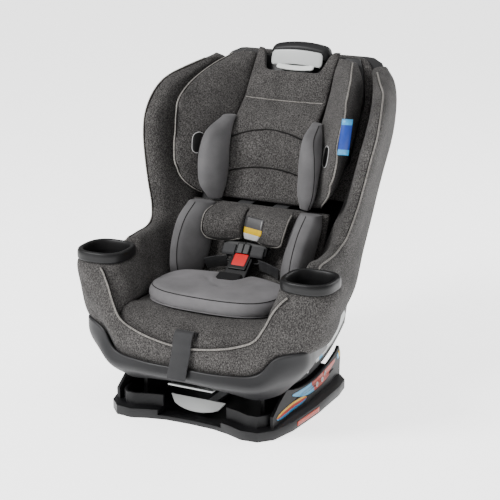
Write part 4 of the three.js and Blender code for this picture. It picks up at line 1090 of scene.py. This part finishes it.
# %% Headrest hump and handle
def arched(name, profile, half, rise, lean, end, material, body, slot, replaces=()):
    """A profile in y and z carried along x; z falls by rise * (x/half)^2 and y grows by lean * (x/half)^2, and
    the section shrinks to a round end as sqrt(1 - (1 - d/end)^2)."""
    corners = rounded([(0, y, z) for y, z in profile], 3.5, 6)
    middle = corners.mean(0)
    x = half * np.sin(np.linspace(-np.pi / 2, np.pi / 2, 41))
    d = half - np.abs(x)
    shrink = 0.25 + 0.75 * np.sqrt(1 - (1 - np.clip(d / end, 0, 1)) ** 2)
    grid = middle + (corners - middle)[None] * shrink[:, None, None]
    grid[:, :, 0] = x[:, None]
    grid[:, :, 2] -= (rise * (x / half) ** 2)[:, None]
    grid[:, :, 1] += (lean * (x / half) ** 2)[:, None]
    finish(grid_object(name, grid, wrap=True), material, body, slot, replaces)


hump_profile = [(319, 603), (328, 606), (335, 616), (338, 627), (335, 636.5), (322, 636.8), (313.5, 629), (311, 611)]
grip_profile = [(295.5, 597), (300, 595.5), (308.5, 623), (303.5, 625)]
lip_profile = [(289, 586), (294, 583), (301, 592), (297, 595)]
arched("headrest_hump", hump_profile, 64, 9, 2, 14, POLYPROPYLENE, "headrest", "black")
arched("headrest_grip", grip_profile, 55, 5, 2, 6, SILVER_ABS, "headrest_release", "silver", ["headrest_handle"])
arched("headrest_lip", lip_profile, 40, -3, 1, 5, STRIP_PLASTIC, "headrest", "silver")
print("headrest hump and handle made")

# %% [markdown]
# ## Moulded shell, base and steel
# These stay the frame's own shapes. A copy of each is merged, and its hard edges get a small round, as
# every moulded edge has. The bevel hardens the normals, so that the flats stay flat.


# %% Refined copies of rigid nodes
EDGE_ROUND = 0.0012
EDGE_ANGLE = radians(30)


def refined(node, material, slot, cutters=()):
    """A merged copy with bevelled edges. Cutters are (corners in millimetres, depth vector): prisms that are
    taken away, where the cover outside hides the wall or rounds it."""
    mesh = nodes[node].data.copy()
    work = bmesh.new()
    work.from_mesh(mesh)
    bmesh.ops.remove_doubles(work, verts=work.verts, dist=1e-5)
    bmesh.ops.dissolve_limit(work, angle_limit=radians(1.0), verts=work.verts, edges=work.edges)
    work.to_mesh(mesh)
    work.free()
    mesh.materials.clear()
    mesh.shade_smooth()
    piece = bpy.data.objects.new(f"{node}_moulding", mesh)
    bpy.context.scene.collection.objects.link(piece)
    for corners, depth in cutters:
        base = np.asarray(corners, float)
        prism = grid_object("prism", np.stack([base, base + np.asarray(depth, float)]), wrap=True)
        cut = piece.modifiers.new("cut", "BOOLEAN")
        cut.operation, cut.solver, cut.object = "DIFFERENCE", "EXACT", prism
        bpy.context.view_layer.update()
        piece.data = bpy.data.meshes.new_from_object(piece.evaluated_get(bpy.context.evaluated_depsgraph_get()))
        piece.modifiers.clear()
        bpy.data.objects.remove(prism)
        piece.data.shade_smooth()
    edge = piece.modifiers.new("edge", "BEVEL")
    edge.width, edge.segments, edge.limit_method, edge.angle_limit = EDGE_ROUND, 2, "ANGLE", EDGE_ANGLE
    edge.harden_normals = True
    return finish(piece, material, body_of(nodes[node])[0], slot, [node])


finishes = {"black": POLYPROPYLENE, "silver": SILVER_ABS, "steel": STEEL}
rigid = {
    "base_shell": "black", "seat_shell": "black", "headrest_shell": "black", "rear_cover": "black",
    "headrest_carriage": "black", "recline_handle": "silver", "extension_release": "silver",
    "adjuster_housing": "black", "buckle_tongue_left": "black", "buckle_tongue_right": "black",
    "tether_anchor": "steel", "level_window": "silver",
}
# The shell's side walls stop just inside the covers, and its top corners are round.
wall_line = [(-200, 203), (8, 203), (62, 212), (100, 256), (136, 306), (180, 350), (209, 396), (239, 448),
             (262, 488), (282, 525), (302, 566), (312, 592), (312, 700), (-200, 700)]
corner_line = [(120, 640), (120, 616), (146, 612), (164, 604), (176, 590), (183, 570), (186, 548), (210, 548),
               (210, 640)]
shell_cutters = [([(-220, y, z) for y, z in wall_line], (440, 0, 0)),
                 ([(x, 240, z) for x, z in corner_line], (0, 140, 0)),
                 ([(-x, 240, z) for x, z in corner_line], (0, 140, 0))]
hump_cutter = [([(-80, y, z) for y, z in ((290, 606), (360, 606), (360, 660), (290, 660))], (160, 0, 0))]
trims = {"seat_shell": shell_cutters, "headrest_shell": hump_cutter}
for name, slot in rigid.items():
    refined(name, finishes[slot], slot, trims.get(name, ()))
print("refined:", list(rigid))

# %% [markdown]
# The leg rest's panel is one curved skin, 5 mm thick, that wraps round the front of the seat from arm to arm.
# A faceted wall would show its creases in gloss, so the visible one is a smooth sheet through the same rows.

# %% Leg rest panel
# Rows of the outer face from the middle to the end of an arm: top, belly and bottom.
leg_rows = np.array([
    [[0, -187, 124], [0, -191.5, 104], [0, -148, 79]],
    [[85, -186, 125], [88, -189.5, 103], [78, -148, 75]],
    [[146, -172, 132], [153, -178, 106], [126, -138, 66]],
    [[178, -160, 164], [190, -160, 128], [148, -128, 68]],
    [[222, -138, 174], [220, -134, 138], [168, -108, 76]],
    [[224, -104, 170], [222, -100, 138], [176, -74, 88]],
    [[213, -50, 156], [211, -48, 136], [184, -36, 104]],
    [[200, 18, 142], [199, 20, 130], [194, 12, 118]],
], float)
leg_skin = through(np.concatenate([mirror(leg_rows[:0:-1]), leg_rows]), 170)
leg_skin = through(leg_skin.transpose(1, 0, 2), 30)
leg_normal = slopes(leg_skin)
leg_normal = leg_normal * np.sign(-leg_normal[10, 85, 1])
front, back = pad(leg_skin - leg_normal * 2.5, 5, 2.2, outward=(0, -1, 0))
finish(pad_object("extension_panel_moulding", front, back), PANEL_PLASTIC, "extension", "grey", ["extension_panel"])
print("leg rest panel:", front.min((0, 1)), front.max((0, 1)))

# %% [markdown]
# What is still showing of the frame is already the right shape: feet, latch, springs, bars and rails.
# Those nodes only get their real material.

# %% Frame nodes kept as they are
kept = {"foot_pad": RUBBER, "latch": STEEL, "recline": STEEL, "frame": STEEL, "rail_guide": POLYPROPYLENE,
        "extension_rail": POLYPROPYLENE}
for name, node in nodes.items():
    if node.hide_render:
        continue
    material = next(m for key, m in kept.items() if name.startswith(key))
    for place in node.material_slots:
        place.material = material
    print("kept", name, material.name)

# %% [markdown]
# ## Labels, tags and badges
# The real ones carry words and pictures. These are plain bands of the same colours in the same places.


# %% Labels
def label(name, grid, material, body, thick=0.5):
    """A thin patch from a grid; its UV runs 0 to 1 across (x) and along (y). A wall gives it its thickness."""
    rows, cols = grid.shape[:2]
    uv = np.stack(np.meshgrid(np.linspace(0, 1, cols), np.linspace(0, 1, rows)), 2).reshape(-1, 2)
    piece = grid_object(name, grid, uv=uv)
    wall = piece.modifiers.new("wall", "SOLIDIFY")
    wall.thickness, wall.offset = thick / 1000, 0
    piece.data.materials.append(material)
    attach(piece, body)
    return piece


def laid(grid, piece, off=0.4):
    """Each point moved along x onto a piece: a ray from outside finds the wall, and the point stops just off it."""
    out = grid.copy()
    for place in np.ndindex(grid.shape[:2]):
        side = float(np.sign(grid[place][0]))
        start = Vector((side * 0.4, float(grid[place][1]) / 1000, float(grid[place][2]) / 1000))
        hit, where, *_ = piece.ray_cast(start, Vector((-side, 0, 0)))
        if hit:
            out[place][0] = where[0] * 1000 + side * off
    return out


PIVOT_Y, PIVOT_Z = 35, 369


def arc_patch(x, r_inner, r_outer, y_low, y_high, taper, rows=40, cols=5, pivot=(PIVOT_Y, PIVOT_Z)):
    """A band between two circles about the recline pivot, below it, from y_low to y_high: half its width is
    (r_outer - r_inner)/2 * (1 - taper |t|^3), with t from -1 to 1 along it."""
    y = np.linspace(y_low, y_high, rows)
    middle = (r_inner + r_outer) / 2
    angle = np.arcsin((y - pivot[0]) / middle)
    t = np.linspace(-1, 1, rows)
    half = (r_outer - r_inner) / 2 * (1 - taper * np.abs(t) ** 3)
    r = middle + half[:, None] * np.linspace(-1, 1, cols)[None]
    return np.stack([np.full(r.shape, x), pivot[0] + r * np.sin(angle)[:, None],
                     pivot[1] - r * np.cos(angle)[:, None]], 2)


# %% [markdown]
# The recline dial runs along the side of the base: light blue and red, with three plain rings where the
# real one has numbers. The pale strip above it is on the shell, and moves past the dial as the seat tips.

# %% Recline dial and strip
bpy.context.view_layer.update()
base_wall, shell_wall = (bpy.data.objects[name] for name in ("base_shell_moulding", "seat_shell_moulding"))
dial = laid(arc_patch(163.6, 321, 337, -58, 146, 0.85, 60, 15), base_wall, 0.6)
# The wall has a small step under the dial; the label eases over it and never dips below the wall.
for _ in range(6):
    eased = (dial[:, :-2, 0] + 2 * dial[:, 1:-1, 0] + dial[:, 2:, 0]) / 4
    dial[:, 1:-1, 0] = np.maximum(dial[:, 1:-1, 0], eased)
    eased = (dial[:-2, :, 0] + 2 * dial[1:-1, :, 0] + dial[2:, :, 0]) / 4
    dial[1:-1, :, 0] = np.maximum(dial[1:-1, :, 0], eased)
label("arc_label_left", dial, ARC_LABEL, "base")
label("strip_label_left", laid(arc_patch(156.4, 280, 301, 66, 204, 0.2), shell_wall), STRIP_LABEL, "seat")
label("strip_label_right", laid(mirror(arc_patch(156.4, 280, 301, 66, 204, 0.2)), shell_wall), STRIP_LABEL, "seat")
label("rear_label_left", laid(arc_patch(163.6, 325, 338, 149, 162, 0.2), base_wall), REAR_LABEL, "base")
MARK_RADIUS = 328
a = np.arange(25) * 2 * np.pi / 24
for number, y in enumerate((40, 64, 88)):
    mark_z = PIVOT_Z - MARK_RADIUS * np.cos(np.arcsin((y - PIVOT_Y) / MARK_RADIUS))
    mark = np.stack([np.full(25, 164.0), y + 3 * np.cos(a), mark_z + 4.4 * np.sin(a)], 1)
    mark[:, 0] = laid(mark[None], base_wall, 1.6)[0, :, 0].max()
    ring = tube_grid(mark, 0.9, np.array([1.0, 0, 0]), 6)[:-1]
    piece = grid_object(f"dial_mark_{number}", ring, wrap=True, loop=True)
    piece.data.materials.append(WHITE_PRINT)
    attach(piece, "base")
print("dial and strips made")

# %% Oval label
# An oval on the side wall, whose rows shrink towards its ends.
t = np.linspace(-1, 1, 30)
oval_half = 8 * np.sqrt(np.clip(1 - np.abs(t) ** 3, 0.01, 1))
oval = np.stack([np.full((30, 9), 168.7), np.broadcast_to((-64 + 60 * t)[:, None], (30, 9)),
                 31 + oval_half[:, None] * np.linspace(-1, 1, 9)[None]], 2)
label("side_label_left", laid(oval, base_wall), BASE_LABEL, "base")
print("oval label made")

# %% Shoulder patch
# The straight face of a rounded row lies between the last point of one corner and the first of the next.
def on_face(first, second, heights):
    """The points of two grid columns at the given heights, leaving out the rows of the domed ends."""
    columns = [column[DOME_ROWS + 1:-DOME_ROWS - 1] for column in (first, second)]
    return [np.stack([np.interp(heights, c[:, 2], c[:, k]) for k in range(3)], 1) for c in columns]


# The plain patch on the left shoulder cover: white below, yellow, then grey.
inner, outer = on_face(left_grid[:, 6], left_grid[:, 7], np.linspace(291, 334, 24))
right_edge = 35 - 12 * np.clip((308 - inner[:, 2]) / 17, 0, 1)
patch_x = -9 + (right_edge + 9)[:, None] * np.linspace(0, 1, 9)[None]
share = (patch_x - inner[:, :1]) / (outer[:, :1] - inner[:, :1])
patch = inner[:, None] + (outer - inner)[:, None] * share[:, :, None]
label("shoulder_label", patch + np.array([0, -0.8, 0.1]), SHOULDER_LABEL, "seat", 0.6)
print("shoulder patch made")

# %% [markdown]
# Each headrest wing has a small badge on its inner face. Here it is a plain dark oval with a thin pale
# edge: rows of a grid on the wing's flat face, with half width 12.5 sqrt(1 - t^4).

# %% Wing badges
# Plain oval badges on the inner faces of both headrest wings, with a thin pale edge.
inner, outer = on_face(head_wing_grid[:, 0], head_wing_grid[:, -1], np.linspace(437, 476, 30))
width = np.linalg.norm(outer - inner, axis=1)[:, None]
t = np.linspace(-1, 1, 30)
badge_half = 12.5 * np.sqrt(np.clip(1 - np.abs(t) ** 4, 0.02, 1))[:, None]
share = 0.42 + badge_half * np.linspace(-1, 1, 7)[None] / width
badge = inner[:, None] + (outer - inner)[:, None] * share[:, :, None] + np.array([-0.5, -0.5, 0])
edge_line = np.vstack([badge[:, 0], badge[::-1, -1]])
edge_line = through(edge_line[::3], 60, closed=True)
for side, turn in SIDES:
    label(f"wing_badge_{side}", badge * turn, BADGE_INK, "headrest", 0.5)
    ring = tube_grid(edge_line, 0.55, np.array([-0.75, -0.66, 0]), 6) * turn
    piece = grid_object(f"wing_badge_edge_{side}", ring, wrap=True, loop=True)
    piece.data.materials.append(WHITE_PRINT)
    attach(piece, "headrest")
print("badges made")

# %% Rim strip
# A plain red strip on the rim of the base, under the oval.
strip_y = np.linspace(-78, 4, 20)
strip_x = 190.4 - 8 * np.clip(-strip_y / 92, 0, 1)
strip = np.stack([np.broadcast_to(strip_x[:, None], (20, 4)), np.broadcast_to(strip_y[:, None], (20, 4)),
                  np.broadcast_to(np.linspace(4, 13, 4)[None], (20, 4))], 2)
label("rim_label_left", laid(strip, base_wall), RIM_LABEL, "base")
print("rim strip made")

# %% Hang tag
# The hang tag beside the left headrest wing's piping, turned to face forwards.
tag = np.array([[[179, 116, 538], [197, 124, 537]], [[178, 107, 505], [197, 115, 504]],
                [[176, 102, 473], [195, 110, 472]]], float)
label("hang_tag", through(tag, 12), TAG, "headrest", 0.8)
print("hang tag made")

# %% [markdown]
# ## Studio
# The floor is a wide sheet painted white. A little glow of its own keeps it pale right up to the horizon,
# as a lit sweep does, and the soft shadow still shows on it.

# %% Floor
FLOOR_HALF = 9000
floor_grid = np.array([[[x, y, 0] for x in (-FLOOR_HALF, FLOOR_HALF)] for y in (-FLOOR_HALF, FLOOR_HALF)], float)
floor = grid_object("floor", floor_grid)
floor.data.materials.append(moulded("painted_studio_floor", "#f8f8f8", "#fbfbfb", 0.7, 0.00001,
                                    Emission_Color=linear("#ffffff"), Emission_Strength=2.2))
print("floor half width in millimetres:", FLOOR_HALF)

# %% World light and sizes
world = bpy.data.worlds.new("studio")
bpy.context.scene.world = world
world.use_nodes = True
sky = world.node_tree.nodes["Background"]
sky.inputs["Color"].default_value = linear("#ffffff")
sky.inputs["Strength"].default_value = 0.5
